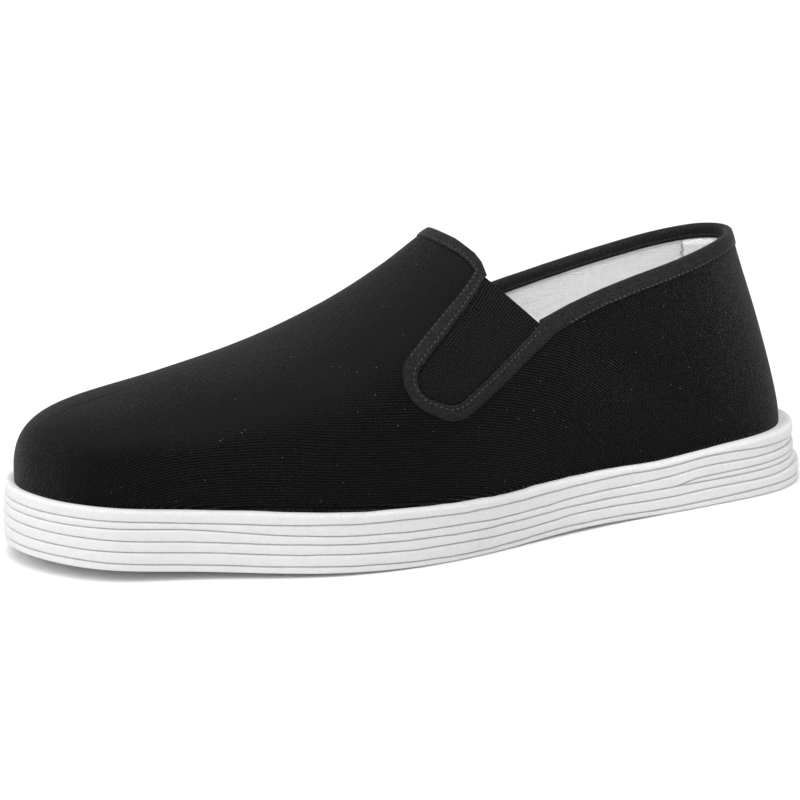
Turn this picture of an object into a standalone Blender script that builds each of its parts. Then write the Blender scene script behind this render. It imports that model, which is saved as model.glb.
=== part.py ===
"""Chinese cloth shoe, one left shoe: a slip-on with side elastics on a sole of wrapped cloth plies.

The toe points along -Y, the outer (little toe) side is +X and +Z is up. Tables are in millimetres.
Every curved piece comes from the same few functions: the plan outline of the sole, the height of the
sole's seat, and the surface of the last above it.
"""

import bmesh
import bpy
import numpy as np

MM = 0.001
GAP = 0.3
FEW = 1e-6
CENTRE_Y = 0.2

# sole
RING_POINTS = 72
TOE_SPRING = 4.6
SPRING_START = -15.0
SPRING_LENGTH = 122.5
SPRING_CURVE = 1.45
ARCH_LIFT = 0.8
ARCH_FRONT = -2.0
ARCH_BACK = 78.0
PLY_ROLL = 0.55
WELT_ROLL = 1.7
LIFT_FRONT = 80.0

# upper
WALL = 1.8
GORE_WALL = 1.2
BINDING_OUT = 0.45
BINDING_IN = 0.3
COLUMNS = 36
ROWS = 10
MOUTH_START = 6.0
HEEL_ROUND_START = 72.0

# insole
INSOLE_THICKNESS = 2.2
INSOLE_LEAN = 0.8

BLACK_TWILL = (0.012, 0.012, 0.013)
BLACK_ELASTIC = (0.010, 0.010, 0.011)
BLACK_TAPE = (0.016, 0.016, 0.017)
WHITE_CLOTH = (0.78, 0.78, 0.77)
LINING_CLOTH = (0.72, 0.72, 0.71)

# name, x, y of the widest line of the sole
OUTLINE = [
    ("heel_back", 0.0, 138.0),
    ("heel_outer", 22.5, 128.5),
    ("heel_outer_side", 33.5, 100.0),
    ("seat_outer", 37.0, 64.0),
    ("waist_outer", 43.0, 22.0),
    ("joint_outer_back", 48.5, -5.0),
    ("joint_outer", 50.5, -30.0),
    ("joint_outer_front", 46.5, -57.0),
    ("small_toe", 37.2, -80.0),
    ("fourth_toe", 29.3, -99.0),
    ("toe_corner", 21.3, -119.0),
    ("toe_front_outer", 6.5, -133.0),
    ("toe_tip", -14.0, -139.0),
    ("toe_front_inner", -33.0, -131.0),
    ("big_toe", -43.5, -108.0),
    ("big_toe_joint", -47.5, -70.0),
    ("joint_inner", -46.5, -45.0),
    ("arch_front", -39.0, -12.0),
    ("arch", -32.5, 25.0),
    ("arch_back", -31.5, 55.0),
    ("heel_inner_side", -33.5, 98.0),
    ("heel_inner", -22.5, 128.5),
]

# y, height of the whole stack of plies
SOLE_HEIGHT = [
    (-140.0, 19.3),
    (-95.0, 19.3),
    (-45.0, 19.0),
    (10.0, 17.6),
    (60.0, 18.0),
    (100.0, 19.8),
    (140.0, 20.0),
]

# y, then the height of each line between plies as a share of the stack
PLY_LINES = [
    (-140.0, 0.12, 0.31, 0.49, 0.49, 0.66, 0.78),
    (-104.0, 0.11, 0.31, 0.49, 0.49, 0.69, 0.80),
    (-76.0, 0.116, 0.304, 0.487, 0.487, 0.637, 0.80),
    (-47.0, 0.118, 0.307, 0.467, 0.467, 0.613, 0.816),
    (-20.0, 0.095, 0.308, 0.480, 0.480, 0.620, 0.850),
    (19.0, 0.096, 0.286, 0.470, 0.470, 0.604, 0.832),
    (44.0, 0.100, 0.298, 0.467, 0.467, 0.628, 0.847),
    (73.0, 0.092, 0.290, 0.459, 0.459, 0.681, 0.865),
    (86.0, 0.101, 0.304, 0.446, 0.547, 0.710, 0.890),
    (115.0, 0.127, 0.284, 0.432, 0.538, 0.667, 0.822),
    (140.0, 0.130, 0.360, 0.460, 0.560, 0.680, 0.800),
]

# name, line below, line above, how far the edge stands out at toe, side and heel
PLIES = [
    ("outsole", 0, 1, 0.2, 0.0, 1.8),
    ("sole_ply_2", 1, 2, 0.4, 0.1, 1.8),
    ("sole_ply_3", 2, 3, 0.3, 0.0, 0.4),
    ("heel_lift", 3, 4, 0.0, 0.0, -0.2),
    ("sole_ply_4", 4, 5, 0.1, 0.0, -0.3),
    ("sole_ply_5", 5, 6, -0.3, -0.2, -1.1),
    ("welt_ply", 6, 7, -0.4, 0.0, -0.6),
]

# y, how far the foot of the upper stands inside the sole's outline
FEATHER_INSET = [(-140.0, 3.4), (-120.0, 3.2), (-100.0, 3.0), (60.0, 3.0), (120.0, 4.9), (140.0, 5.8)]

# name, then y, x, z and half width of the crest line, and the shape of the wall below it:
# rise and bulge of the lower half, reach and lean of the upper half
SECTIONS = [
    ("toe", -98.0, -13.0, 51.1, 0.0, 0.74, 0.03, 0.70, 0.0),
    ("toes", -78.0, -11.0, 55.5, 0.0, 0.64, 0.12, 0.61, 0.0),
    ("joint", -54.0, -8.0, 61.9, 0.0, 0.64, 0.04, 0.70, 0.0),
    ("instep_front", -30.0, -5.0, 73.0, 0.0, 0.62, 0.03, 0.56, 0.0),
    ("instep_mid", -10.0, -3.0, 84.9, 0.0, 0.60, 0.03, 0.54, 0.0),
    ("instep", 6.0, -1.0, 96.5, 0.0, 0.56, 0.03, 0.50, 0.0),
    ("mouth_front", 30.0, 0.0, 108.0, 7.0, 0.40, 0.04, 0.16, 0.26),
    ("ankle", 60.0, 0.0, 116.0, 9.0, 0.30, 0.05, 0.0, 0.40),
    ("ankle_back", 88.0, 0.0, 118.0, 10.0, 0.22, 0.02, 0.0, 0.42),
    ("heel", 106.0, 0.0, 111.1, 10.0, 0.14, 0.0, 0.0, 0.45),
]

# y, z of the front edge of the mouth, seen from the side, and of the lower edge of its tape
THROAT_EDGE = [
    (-1.0, 103.0),
    (2.3, 95.4),
    (3.1, 94.5),
    (4.6, 93.6),
    (6.2, 91.8),
    (8.0, 89.8),
    (9.1, 87.4),
    (9.5, 83.6),
]
THROAT_TAPE = [(-4.5, 99.0), (-1.2, 93.0), (-0.2, 92.2), (1.0, 91.3), (2.7, 89.9), (4.7, 87.7), (5.7, 84.84)]

# y, z of the collar's top edge and of the lower edge of its tape
COLLAR_EDGE = [
    (25.9, 67.4),
    (40.0, 71.3),
    (53.0, 74.4),
    (66.0, 77.1),
    (80.0, 79.7),
    (94.0, 82.5),
    (108.0, 85.3),
    (124.0, 87.8),
]
COLLAR_TAPE = [(44.0, 67.5), (53.0, 69.8), (66.0, 72.5), (80.0, 75.1), (94.0, 77.9), (108.0, 80.7), (124.0, 83.2)]

# name, y, z and radius of the corners of the gore and of its tape, seen from the side
GORE = [
    ("front_top", 18.7, 91.2, 0.0),
    ("front_foot", -26.8, 53.9, 5.0),
    ("foot", -11.0, 47.6, 8.0),
    ("back_top", 36.5, 73.1, 0.0),
]
GORE_TAPE = [
    ("front_top", 18.6, 94.7, 0.0),
    ("front_foot", -34.5, 54.1, 9.0),
    ("foot", -11.5, 41.8, 12.0),
    ("back_top", 32.0, 64.0, 20.0),
    ("collar", 44.0, 67.5, 0.0),
]


def glide(rows):
    """Smooth curve through a table: between two rows it never passes either of them."""
    table = np.array(rows, float)
    x, y = table[:, 0], table[:, 1:]
    step = np.diff(x)[:, None]
    rate = np.diff(y, axis=0) / step
    slope = np.zeros_like(y)
    slope[0], slope[-1] = rate[0], rate[-1]
    before, after = 2 * step[1:] + step[:-1], step[1:] + 2 * step[:-1]
    same = rate[:-1] * rate[1:] > 0
    safe = np.where(same, rate[:-1], 1), np.where(same, rate[1:], 1)
    slope[1:-1] = np.where(same, (before + after) / (before / safe[0] + after / safe[1]), 0)

    def at(q):
        q = np.clip(np.asarray(q, float), x[0], x[-1])
        i = np.clip(np.searchsorted(x, q, side="right") - 1, 0, len(x) - 2)
        s = ((q - x[i]) / step[i, 0])[..., None]
        ends = y[i] * (1 + 2 * s) * (1 - s) ** 2 + y[i + 1] * s * s * (3 - 2 * s)
        out = ends + step[i] * (slope[i] * s * (1 - s) ** 2 - slope[i + 1] * s * s * (1 - s))
        return out[..., 0] if y.shape[1] == 1 else out

    return at


def closed_curve(rows, samples=2400):
    """Closed cubic spline through the outline's rows, as evenly spread points."""
    points = np.array([row[1:] for row in rows] + [rows[0][1:]], float)
    along = np.r_[0, np.cumsum(np.linalg.norm(np.diff(points, axis=0), axis=1))]
    count, step = len(along), np.diff(along)
    rate = np.diff(points, axis=0) / step[:, None]
    system, right = np.zeros((count, count)), np.zeros_like(points)
    for i in range(1, count - 1):
        system[i, i - 1 : i + 2] = step[i - 1], 2 * (step[i - 1] + step[i]), step[i]
        right[i] = 6 * (rate[i] - rate[i - 1])
    system[0, 0], system[0, -1] = 1, -1
    system[-1, [0, 1]] += 2 * step[0], step[0]
    system[-1, [-2, -1]] += step[-1], 2 * step[-1]
    right[-1] = 6 * (rate[0] - rate[-1])
    bend = np.linalg.solve(system, right)
    q = np.linspace(0, along[-1], samples + 1)[:-1]
    i = np.clip(np.searchsorted(along, q, side="right") - 1, 0, count - 2)
    a = ((along[i + 1] - q) / step[i])[:, None]
    b = 1 - a
    cubic = ((a**3 - a) * bend[i] + (b**3 - b) * bend[i + 1]) * (step[i] ** 2)[:, None] / 6
    return a * points[i] + b * points[i + 1] + cubic


def grow(loop, distance):
    """Closed plan loop moved outward by a distance that may change along it."""
    along = np.roll(loop, -1, 0) - np.roll(loop, 1, 0)
    along /= np.linalg.norm(along, axis=1, keepdims=True)
    outward = np.stack([along[:, 1], -along[:, 0]], 1)
    area = np.sum(loop[:, 0] * np.roll(loop[:, 1], -1) - np.roll(loop[:, 0], -1) * loop[:, 1])
    return loop + outward * np.sign(area) * np.reshape(distance, (-1, 1))


LOOP = closed_curve(OUTLINE)
CENTRE = np.array([(LOOP[:, 0].max() + LOOP[:, 0].min()) / 2, CENTRE_Y, 0.0])
sole_height = glide(SOLE_HEIGHT)
ply_lines = glide(PLY_LINES)
feather_inset = glide(FEATHER_INSET)
section_at = glide([row[1:] for row in SECTIONS])
FEATHER = grow(LOOP, -feather_inset(LOOP[:, 1]))
CREST_START, CREST_END = SECTIONS[0][1], SECTIONS[-1][1]


def floor_lift(y):
    """Toe spring in front of the joint and the slight arch under the waist."""
    spring = TOE_SPRING * np.clip((SPRING_START - y) / SPRING_LENGTH, 0, 1.1) ** SPRING_CURVE
    waist = np.clip((y - ARCH_FRONT) / (ARCH_BACK - ARCH_FRONT), 0, 1)
    return spring + ARCH_LIFT * np.sin(np.pi * waist) ** 2


def line_height(line, y):
    """Height of line 0 (floor) to line 7 (seat) between the plies."""
    shares = np.concatenate([np.zeros_like(y)[..., None], ply_lines(y), np.ones_like(y)[..., None]], -1)
    return floor_lift(y) + shares[..., line] * sole_height(y)


def seat(y):
    return line_height(7, np.asarray(y, float))


def side_of(loop, side):
    """The loop's outer (1) or inner (-1) half from toe tip to heel back, with its running length."""
    tip, heel, count = loop[:, 1].argmin(), loop[:, 1].argmax(), len(loop)
    forward = (tip + np.arange((heel - tip) % count + 1)) % count
    backward = (tip - np.arange((tip - heel) % count + 1)) % count
    outer_first = loop[forward[len(forward) // 2], 0] > 0
    half = loop[forward if (side > 0) == outer_first else backward]
    along = np.r_[0, np.cumsum(np.linalg.norm(np.diff(half, axis=0), axis=1))]
    return half, along / along[-1]


FEATHER_SIDES = {side: side_of(FEATHER, side) for side in (1, -1)}


def last_point(side, a, v):
    """Surface of the last: a runs along the foot from toe tip (0) to heel back (1), v from foot to crest.

    Each wall line is a cubic with its ends on the foot line and on the crest line, flat across the crest.
    """
    a, v = np.broadcast_arrays(np.asarray(a, float), np.asarray(v, float))
    half, along = FEATHER_SIDES[side]
    x, y = np.interp(a, along, half[:, 0]), np.interp(a, along, half[:, 1])
    foot = np.stack([x, y, seat(y) + GAP], -1)
    crest_y = CREST_START + (CREST_END - CREST_START) * (1 - np.cos(np.pi * a)) / 2
    crest_x, crest_z, width, rise, bulge, reach, lean = np.moveaxis(section_at(crest_y), -1, 0)
    slope = section_at(crest_y + 0.5)[..., 1] - section_at(crest_y - 0.5)[..., 1]
    round_end = np.clip((crest_y - HEEL_ROUND_START) / (CREST_END - HEEL_ROUND_START), 0, 1)
    crest = np.stack([crest_x + side * width * np.sqrt(1 - round_end**2), crest_y, crest_z], -1)
    flat = (foot - crest) * [1, 1, 0]
    lay = flat + np.stack([0 * x, 0 * x, slope * flat[..., 1]], -1)
    up = np.stack([0 * x, 0 * x, (crest_z - foot[..., 2]) * rise], -1)
    low = foot + up + flat * bulge[..., None]
    high = crest + lay * reach[..., None] + (foot - crest) * lean[..., None]
    w = v[..., None]
    return (1 - w) ** 3 * foot + 3 * (1 - w) ** 2 * w * low + 3 * (1 - w) * w**2 * high + w**3 * crest


def mesh_object(name, points, faces):
    mesh = bpy.data.meshes.new(name)
    mesh.from_pydata([tuple(p) for p in (np.asarray(points) - CENTRE) * MM], [], faces)
    mesh.validate()
    thing = bpy.data.objects.new(name, mesh)
    bpy.context.scene.collection.objects.link(thing)
    clean = bmesh.new()
    clean.from_mesh(mesh)
    bmesh.ops.remove_doubles(clean, verts=clean.verts, dist=FEW)
    bmesh.ops.recalc_face_normals(clean, faces=clean.faces)
    clean.to_mesh(mesh)
    clean.free()
    return thing


def ring_faces(low, high):
    count = len(low)
    return [(low[i], low[(i + 1) % count], high[(i + 1) % count], high[i]) for i in range(count)]


def cap_faces(ring):
    """Strips across a ring that starts at its front, with its back in the middle of the list."""
    count = len(ring)
    middle = count // 2
    faces = []
    for i in range(middle):
        corners = [ring[i], ring[i + 1], ring[2 * middle - i - 1], ring[(2 * middle - i) % count]]
        faces.append(tuple(dict.fromkeys(corners)))
    return faces


def sample_ring(loop, count=RING_POINTS, front=None):
    """Loop as an even number of points, toe tip first and heel back in the middle.

    With front, only the part of the loop behind that y is kept, closed by a straight front edge.
    """
    share = np.linspace(0, 1, count // 2 + 1)
    halves = []
    for side in (1, -1):
        half, along = side_of(loop, side)
        start = 0 if front is None else np.interp(front, half[:, 1], along)
        place = start + (1 - start) * share
        halves.append(np.stack([np.interp(place, along, half[:, k]) for k in (0, 1)], 1))
    stop = 0 if front is None else None
    return np.concatenate([halves[0], halves[1][-2:stop:-1]])


def ply(name, low_line, high_line, toe_out, side_out, heel_out):
    """One cloth ply: a closed stack of rings with rolled edges, following the lines between plies."""
    stand_out = glide([(-140.0, toe_out), (-110.0, toe_out), (-60.0, side_out), (90.0, side_out), (130.0, heel_out)])
    top = high_line == 7
    roll = WELT_ROLL if top else PLY_ROLL
    edge = [(-PLY_ROLL, 0.0), (-0.12, 0.16), (0.0, 0.5), (-0.12, 0.84), (-roll, 1.0)]
    if top:
        edge = [(-PLY_ROLL, 0.0), (-0.12, 0.14), (0.0, 0.42), (-0.5, 0.8), (-roll, 1.0)]
    front = LIFT_FRONT if name == "heel_lift" else None
    points, rings = [], []
    for out, share in edge:
        plan = grow(LOOP, stand_out(LOOP[:, 1]) + out)
        ring = sample_ring(plan, front=front)
        y = ring[:, 1]
        low = line_height(low_line, y) + (GAP / 2 if low_line else 0)
        high = line_height(high_line, y) - (0 if top else GAP / 2)
        rings.append(list(range(len(points), len(points) + len(ring))))
        points += list(np.column_stack([ring, low + (high - low) * share]))
    faces = [face for a, b in zip(rings, rings[1:]) for face in ring_faces(a, b)]
    return mesh_object(name, points, faces + cap_faces(rings[0]) + cap_faces(rings[-1]))


def shell(name, out, inward):
    """Closed wall over the whole last, from an outer skin to an inner one, open underneath."""
    a = np.linspace(0, 1, COLUMNS + 1)
    v = np.linspace(0, 1, ROWS + 1)
    open_column = CREST_START + (CREST_END - CREST_START) * (1 - np.cos(np.pi * a)) / 2 > MOUTH_START
    index = {}
    points = []
    for side in (1, -1):
        grid = last_point(side, a[:, None], v[None])
        for i in range(COLUMNS + 1):
            for j in range(ROWS + 1):
                shared = side < 0 and (i in (0, COLUMNS) or (j == ROWS and not open_column[i]))
                if shared:
                    index[side, i, j] = index[1, i, j]
                else:
                    index[side, i, j] = len(points)
                    points.append(grid[i, j])
    points = np.array(points)
    skin = []
    for side in (1, -1):
        for i in range(COLUMNS):
            for j in range(ROWS):
                quad = [index[side, i, j], index[side, i + 1, j], index[side, i + 1, j + 1], index[side, i, j + 1]]
                skin.append(quad if side > 0 else quad[::-1])
    corners = points[np.array(skin)]
    across = np.cross(corners[:, 2] - corners[:, 0], corners[:, 3] - corners[:, 1])
    normal = np.zeros_like(points)
    for k in range(4):
        np.add.at(normal, np.array(skin)[:, k], across)
    normal /= np.linalg.norm(normal, axis=1, keepdims=True)
    outside = points + normal * out
    inside = points - normal * inward
    foot = [index[1, i, 0] for i in range(COLUMNS + 1)] + [index[-1, i, 0] for i in range(COLUMNS - 1, 0, -1)]
    outside[foot, 2] = inside[foot, 2] = points[foot, 2]
    first = int(np.argmax(open_column)) - 1
    mouth = [index[1, i, ROWS] for i in range(first, COLUMNS + 1)]
    mouth += [index[-1, i, ROWS] for i in range(COLUMNS - 1, first, -1)]
    count = len(points)
    faces = [tuple(quad) for quad in skin] + [tuple(k + count for k in quad[::-1]) for quad in skin]
    for rim in (foot, mouth):
        faces += ring_faces(rim, [k + count for k in rim])
    return mesh_object(name, np.concatenate([outside, inside]), faces)


def rounded(rows, per_corner=7):
    """Open path through the rows (name, y, z, radius) with its corners rounded."""
    corner = np.array([row[1:3] for row in rows], float)
    path = [corner[0]]
    for k in range(1, len(rows) - 1):
        before, after = corner[k - 1] - corner[k], corner[k + 1] - corner[k]
        before /= np.linalg.norm(before)
        after /= np.linalg.norm(after)
        half = np.arccos(np.clip(before @ after, -1, 1)) / 2
        radius = rows[k][3]
        reach = radius / np.tan(half)
        middle = corner[k] + (before + after) / np.linalg.norm(before + after) * radius / np.sin(half)
        start, end = corner[k] + before * reach - middle, corner[k] + after * reach - middle
        sweep = np.arccos(np.clip(start @ end / radius**2, -1, 1))
        for share in np.linspace(0, 1, per_corner):
            path.append(middle + (np.sin((1 - share) * sweep) * start + np.sin(share * sweep) * end) / np.sin(sweep))
    path.append(corner[-1])
    return np.array(path)


def widen(polygon, distance):
    """Closed polygon of the side view moved outward by a small distance, corners mitred."""
    polygon = np.asarray(polygon, float)
    keep = np.linalg.norm(polygon - np.roll(polygon, 1, 0), axis=1) > 1e-3
    polygon = polygon[keep]
    edge = np.roll(polygon, -1, 0) - polygon
    edge /= np.linalg.norm(edge, axis=1, keepdims=True)
    area = np.sum(polygon[:, 0] * np.roll(polygon[:, 1], -1) - np.roll(polygon[:, 0], -1) * polygon[:, 1])
    normal = np.stack([edge[:, 1], -edge[:, 0]], 1) * np.sign(area)
    both = normal + np.roll(normal, 1, 0)
    both /= np.sum(both * normal, axis=1, keepdims=True)
    return polygon + both * distance


def prism(name, polygon, x_low=-90.0, x_high=90.0):
    """A side-view polygon (y, z) carried straight across the shoe."""
    count = len(polygon)
    points = [(x, y, z) for x in (x_low, x_high) for y, z in polygon]
    faces = [tuple(range(count)), tuple(range(2 * count - 1, count - 1, -1))]
    faces += ring_faces(list(range(count)), list(range(count, 2 * count)))
    return mesh_object(name, points, faces)


def combine(thing, tool, operation):
    """Boolean of two objects, applied; the tool stays as a hidden cutter."""
    modifier = thing.modifiers.new(operation.lower(), "BOOLEAN")
    modifier.object = tool
    modifier.operation = operation
    modifier.solver = "EXACT"
    graph = bpy.context.evaluated_depsgraph_get()
    mesh = bpy.data.meshes.new_from_object(thing.evaluated_get(graph))
    thing.modifiers.clear()
    old = thing.data
    thing.data = mesh
    bpy.data.meshes.remove(old)


def finish(thing, colour, roughness, home, sharp_angle=0.7):
    """Clean mesh, smooth shading with crisp rims, material and collection."""
    clean = bmesh.new()
    clean.from_mesh(thing.data)
    bmesh.ops.remove_doubles(clean, verts=clean.verts, dist=2e-5)
    bmesh.ops.dissolve_degenerate(clean, edges=clean.edges, dist=2e-5)
    bmesh.ops.triangulate(clean, faces=clean.faces)
    bmesh.ops.recalc_face_normals(clean, faces=clean.faces)
    clean.to_mesh(thing.data)
    clean.free()
    thing.data.name = thing.name
    thing.data.polygons.foreach_set("use_smooth", [True] * len(thing.data.polygons))
    thing.data.set_sharp_from_angle(angle=sharp_angle)
    material = bpy.data.materials.new(thing.name + "_material")
    material.use_nodes = True
    shader = material.node_tree.nodes["Principled BSDF"]
    shader.inputs["Base Color"].default_value = (*colour, 1.0)
    shader.inputs["Roughness"].default_value = roughness
    thing.data.materials.clear()
    thing.data.materials.append(material)
    bpy.context.scene.collection.objects.unlink(thing)
    home.objects.link(thing)


for old in list(bpy.data.objects):
    bpy.data.objects.remove(old, do_unlink=True)

shoe = bpy.data.collections.new("chinese_cloth_shoe")
cutters = bpy.data.collections.new("cutters")
bpy.context.scene.collection.children.link(shoe)
bpy.context.scene.collection.children.link(cutters)

# sole plies, from the floor up
for row in PLIES:
    finish(ply(*row), WHITE_CLOTH, 0.85, shoe)

# insole, inside the foot of the upper
insole_points = []
insole_rings = []
for inset, height in ((WALL + GAP, 0.0), (WALL + GAP + INSOLE_LEAN, INSOLE_THICKNESS)):
    ring = sample_ring(grow(FEATHER, -inset))
    insole_rings.append(list(range(len(insole_points), len(insole_points) + len(ring))))
    insole_points += list(np.column_stack([ring, seat(ring[:, 1]) + GAP + height]))
insole_faces = ring_faces(*insole_rings) + cap_faces(insole_rings[0]) + cap_faces(insole_rings[1])
finish(mesh_object("insole", insole_points, insole_faces), LINING_CLOTH, 0.9, shoe)

# side-view outlines that the upper, its tapes and its gores are cut with
SKY = 140.0
BEHIND = 170.0
throat_edge = np.array(THROAT_EDGE)
throat_tape = np.array(THROAT_TAPE)
collar_edge = np.array(COLLAR_EDGE)
collar_tape = np.array(COLLAR_TAPE)
gore_path = rounded(GORE)
tape_path = rounded(GORE_TAPE)
opening = np.concatenate([[(-1.0, SKY)], throat_edge, collar_edge, [(BEHIND, 93.0), (BEHIND, SKY)]])
cloth_edge = np.concatenate(
    [[(-4.5, SKY)], throat_tape, tape_path[1:], collar_tape[1:], [(BEHIND, 88.0), (BEHIND, SKY)]]
)
tape_region = np.concatenate([tape_path, collar_tape[1:], [(BEHIND, 88.0), (BEHIND, SKY), (tape_path[0, 0], SKY)]])
gore_region = np.concatenate([gore_path, [(gore_path[-1, 0], SKY), (gore_path[0, 0], SKY)]])
throat_region = np.concatenate([[(-4.5, SKY)], throat_tape, tape_path[:1], [(tape_path[0, 0], SKY)]])

opening_tool = prism("opening_cutter", opening)
cloth_tool = prism("cloth_cutter", cloth_edge)
tape_tool = prism("tape_cutter", widen(tape_region, -GAP))
tape_wide_tool = prism("tape_wide_cutter", tape_region)
throat_tool = prism("throat_cutter", widen(throat_region, -GAP))
gore_wide_tool = prism("gore_wide_cutter", gore_region)
outer_gore_tool = prism("outer_gore_cutter", widen(gore_region, -GAP), x_low=0.0)
inner_gore_tool = prism("inner_gore_cutter", widen(gore_region, -GAP), x_high=0.0)
for tool in (
    opening_tool,
    cloth_tool,
    tape_tool,
    tape_wide_tool,
    throat_tool,
    gore_wide_tool,
    outer_gore_tool,
    inner_gore_tool,
):
    bpy.context.scene.collection.objects.unlink(tool)
    cutters.objects.link(tool)
    tool.hide_render = True
    tool.display_type = "WIRE"

upper = shell("upper", 0.0, WALL)
combine(upper, cloth_tool, "DIFFERENCE")
finish(upper, BLACK_TWILL, 0.8, shoe)

edge_binding = shell("edge_binding", BINDING_OUT, WALL + BINDING_IN)
combine(edge_binding, opening_tool, "DIFFERENCE")
combine(edge_binding, gore_wide_tool, "DIFFERENCE")
combine(edge_binding, tape_tool, "INTERSECT")
finish(edge_binding, BLACK_TAPE, 0.75, shoe)

throat_binding = shell("throat_binding", BINDING_OUT, WALL + BINDING_IN)
combine(throat_binding, throat_tool, "INTERSECT")
combine(throat_binding, tape_wide_tool, "DIFFERENCE")
combine(throat_binding, opening_tool, "DIFFERENCE")
finish(throat_binding, BLACK_TAPE, 0.75, shoe)

for name, tool in (("outer_gore", outer_gore_tool), ("inner_gore", inner_gore_tool)):
    gore = shell(name, -0.25, GORE_WALL + 0.25)
    combine(gore, tool, "INTERSECT")
    combine(gore, opening_tool, "DIFFERENCE")
    finish(gore, BLACK_ELASTIC, 0.85, shoe)
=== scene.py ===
"""Chinese cloth shoe: a black twill slip-on with side elastics and a layered white sole.

Lengths in the tables are millimetres in the shoe's own frame: toe along -Y, outer side +X, up +Z.
Every piece of the upper lies on one surface, the last, worked out from the sole's outline and a table
of sections.
"""

import bmesh
import bpy
import numpy as np
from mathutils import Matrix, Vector


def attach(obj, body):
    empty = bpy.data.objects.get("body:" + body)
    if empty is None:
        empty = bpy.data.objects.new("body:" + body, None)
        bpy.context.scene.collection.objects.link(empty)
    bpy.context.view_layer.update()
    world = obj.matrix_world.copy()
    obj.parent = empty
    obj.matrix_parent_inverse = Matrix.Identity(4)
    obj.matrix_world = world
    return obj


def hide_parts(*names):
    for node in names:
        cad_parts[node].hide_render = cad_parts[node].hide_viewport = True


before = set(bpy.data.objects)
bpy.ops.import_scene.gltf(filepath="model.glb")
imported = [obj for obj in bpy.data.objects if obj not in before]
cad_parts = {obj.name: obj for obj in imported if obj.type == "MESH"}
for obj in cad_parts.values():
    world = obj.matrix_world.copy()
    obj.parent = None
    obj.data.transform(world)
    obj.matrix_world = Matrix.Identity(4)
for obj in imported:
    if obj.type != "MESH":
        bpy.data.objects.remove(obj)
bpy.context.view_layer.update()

MM = 0.001
GAP = 0.3
CENTRE_Y = 0.2
# outer, inner
SIDES = (1, -1)

# sole
TOE_SPRING = 4.6
SPRING_START = -15.0
SPRING_LENGTH = 122.5
SPRING_CURVE = 1.45
ARCH_LIFT = 0.8
ARCH_FRONT = -2.0
ARCH_BACK = 78.0
LIFT_FRONT = 77.5
PLY_GAP = 0.36
PLY_CORNER = 0.42
WELT_ROUND = 1.4
SEAT_RIPPLE = 1.3
SEAT_LINE = 7

# upper
CLOTH = 0.9
LINING_LIFT = -1.0
LINING = 0.7
PATCH_LIFT = -1.75
PATCH = 0.35
PATCH_START = 0.885
PATCH_DROP = 0.035
GORE_LIFT = -0.2
GORE_BACK = -2.1
GORE_EDGE = -1.0
GORE_FRONT_TOP_Y = 9.5
GORE_BACK_TOP_Y = 25.9
GORE_TALL = 59.0
GORE_WIDE = 21.0
EDGE_TAPE_WIDTH = 4.6
THROAT_TAPE_WIDTH = 4.0
THROAT_TAPE_LENGTH = 44.0
HEEL_ROUND_START = 72.0
UNEVENNESS = 0.05
CREASE_FADE_START = 0.80
CREASE_FADE_END = 0.98

# name, x, y of the widest line of the sole
OUTLINE = [
    ("heel_back", 0.0, 138.0),
    ("heel_outer", 22.5, 128.5),
    ("heel_outer_side", 33.5, 100.0),
    ("seat_outer", 37.0, 64.0),
    ("waist_outer", 43.0, 22.0),
    ("joint_outer_back", 48.5, -5.0),
    ("joint_outer", 50.5, -30.0),
    ("joint_outer_front", 46.5, -57.0),
    ("small_toe", 37.2, -80.0),
    ("fourth_toe", 29.3, -99.0),
    ("toe_corner", 21.3, -119.0),
    ("toe_front_outer", 6.5, -133.0),
    ("toe_tip", -14.0, -139.0),
    ("toe_front_inner", -33.0, -131.0),
    ("big_toe", -43.5, -108.0),
    ("big_toe_joint", -47.5, -70.0),
    ("joint_inner", -46.5, -45.0),
    ("arch_front", -39.0, -12.0),
    ("arch", -32.5, 25.0),
    ("arch_back", -31.5, 55.0),
    ("heel_inner_side", -33.5, 98.0),
    ("heel_inner", -22.5, 128.5),
]

# y, height of the whole stack of plies
SOLE_HEIGHT = [
    (-140.0, 19.3),
    (-95.0, 19.3),
    (-45.0, 19.0),
    (10.0, 17.6),
    (60.0, 18.0),
    (100.0, 19.8),
    (140.0, 20.0),
]

# y, then the height of each line between plies as a share of the stack
PLY_LINES = [
    (-140.0, 0.12, 0.31, 0.49, 0.49, 0.66, 0.78),
    (-104.0, 0.11, 0.31, 0.49, 0.49, 0.69, 0.80),
    (-76.0, 0.116, 0.304, 0.487, 0.487, 0.637, 0.80),
    (-47.0, 0.118, 0.307, 0.467, 0.467, 0.613, 0.816),
    (-20.0, 0.095, 0.308, 0.480, 0.480, 0.620, 0.850),
    (19.0, 0.096, 0.286, 0.470, 0.470, 0.604, 0.832),
    (44.0, 0.100, 0.298, 0.467, 0.467, 0.628, 0.847),
    (73.0, 0.092, 0.290, 0.459, 0.459, 0.681, 0.865),
    (86.0, 0.101, 0.304, 0.446, 0.547, 0.710, 0.890),
    (115.0, 0.127, 0.284, 0.432, 0.538, 0.667, 0.822),
    (140.0, 0.130, 0.360, 0.460, 0.560, 0.680, 0.800),
]

# node, line below, line above, how far the edge stands out at toe, side and heel
PLIES = [
    ("outsole", 0, 1, 0.2, 0.0, 1.8),
    ("sole_ply_2", 1, 2, 0.4, 0.1, 1.8),
    ("sole_ply_3", 2, 3, 0.3, 0.0, 0.4),
    ("heel_lift", 3, 4, 0.0, 0.0, -0.2),
    ("sole_ply_4", 4, 5, 0.1, 0.0, -0.3),
    ("sole_ply_5", 5, 6, -0.3, -0.2, -1.1),
    ("welt_ply", 6, 7, -0.4, 0.0, -0.6),
]

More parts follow.
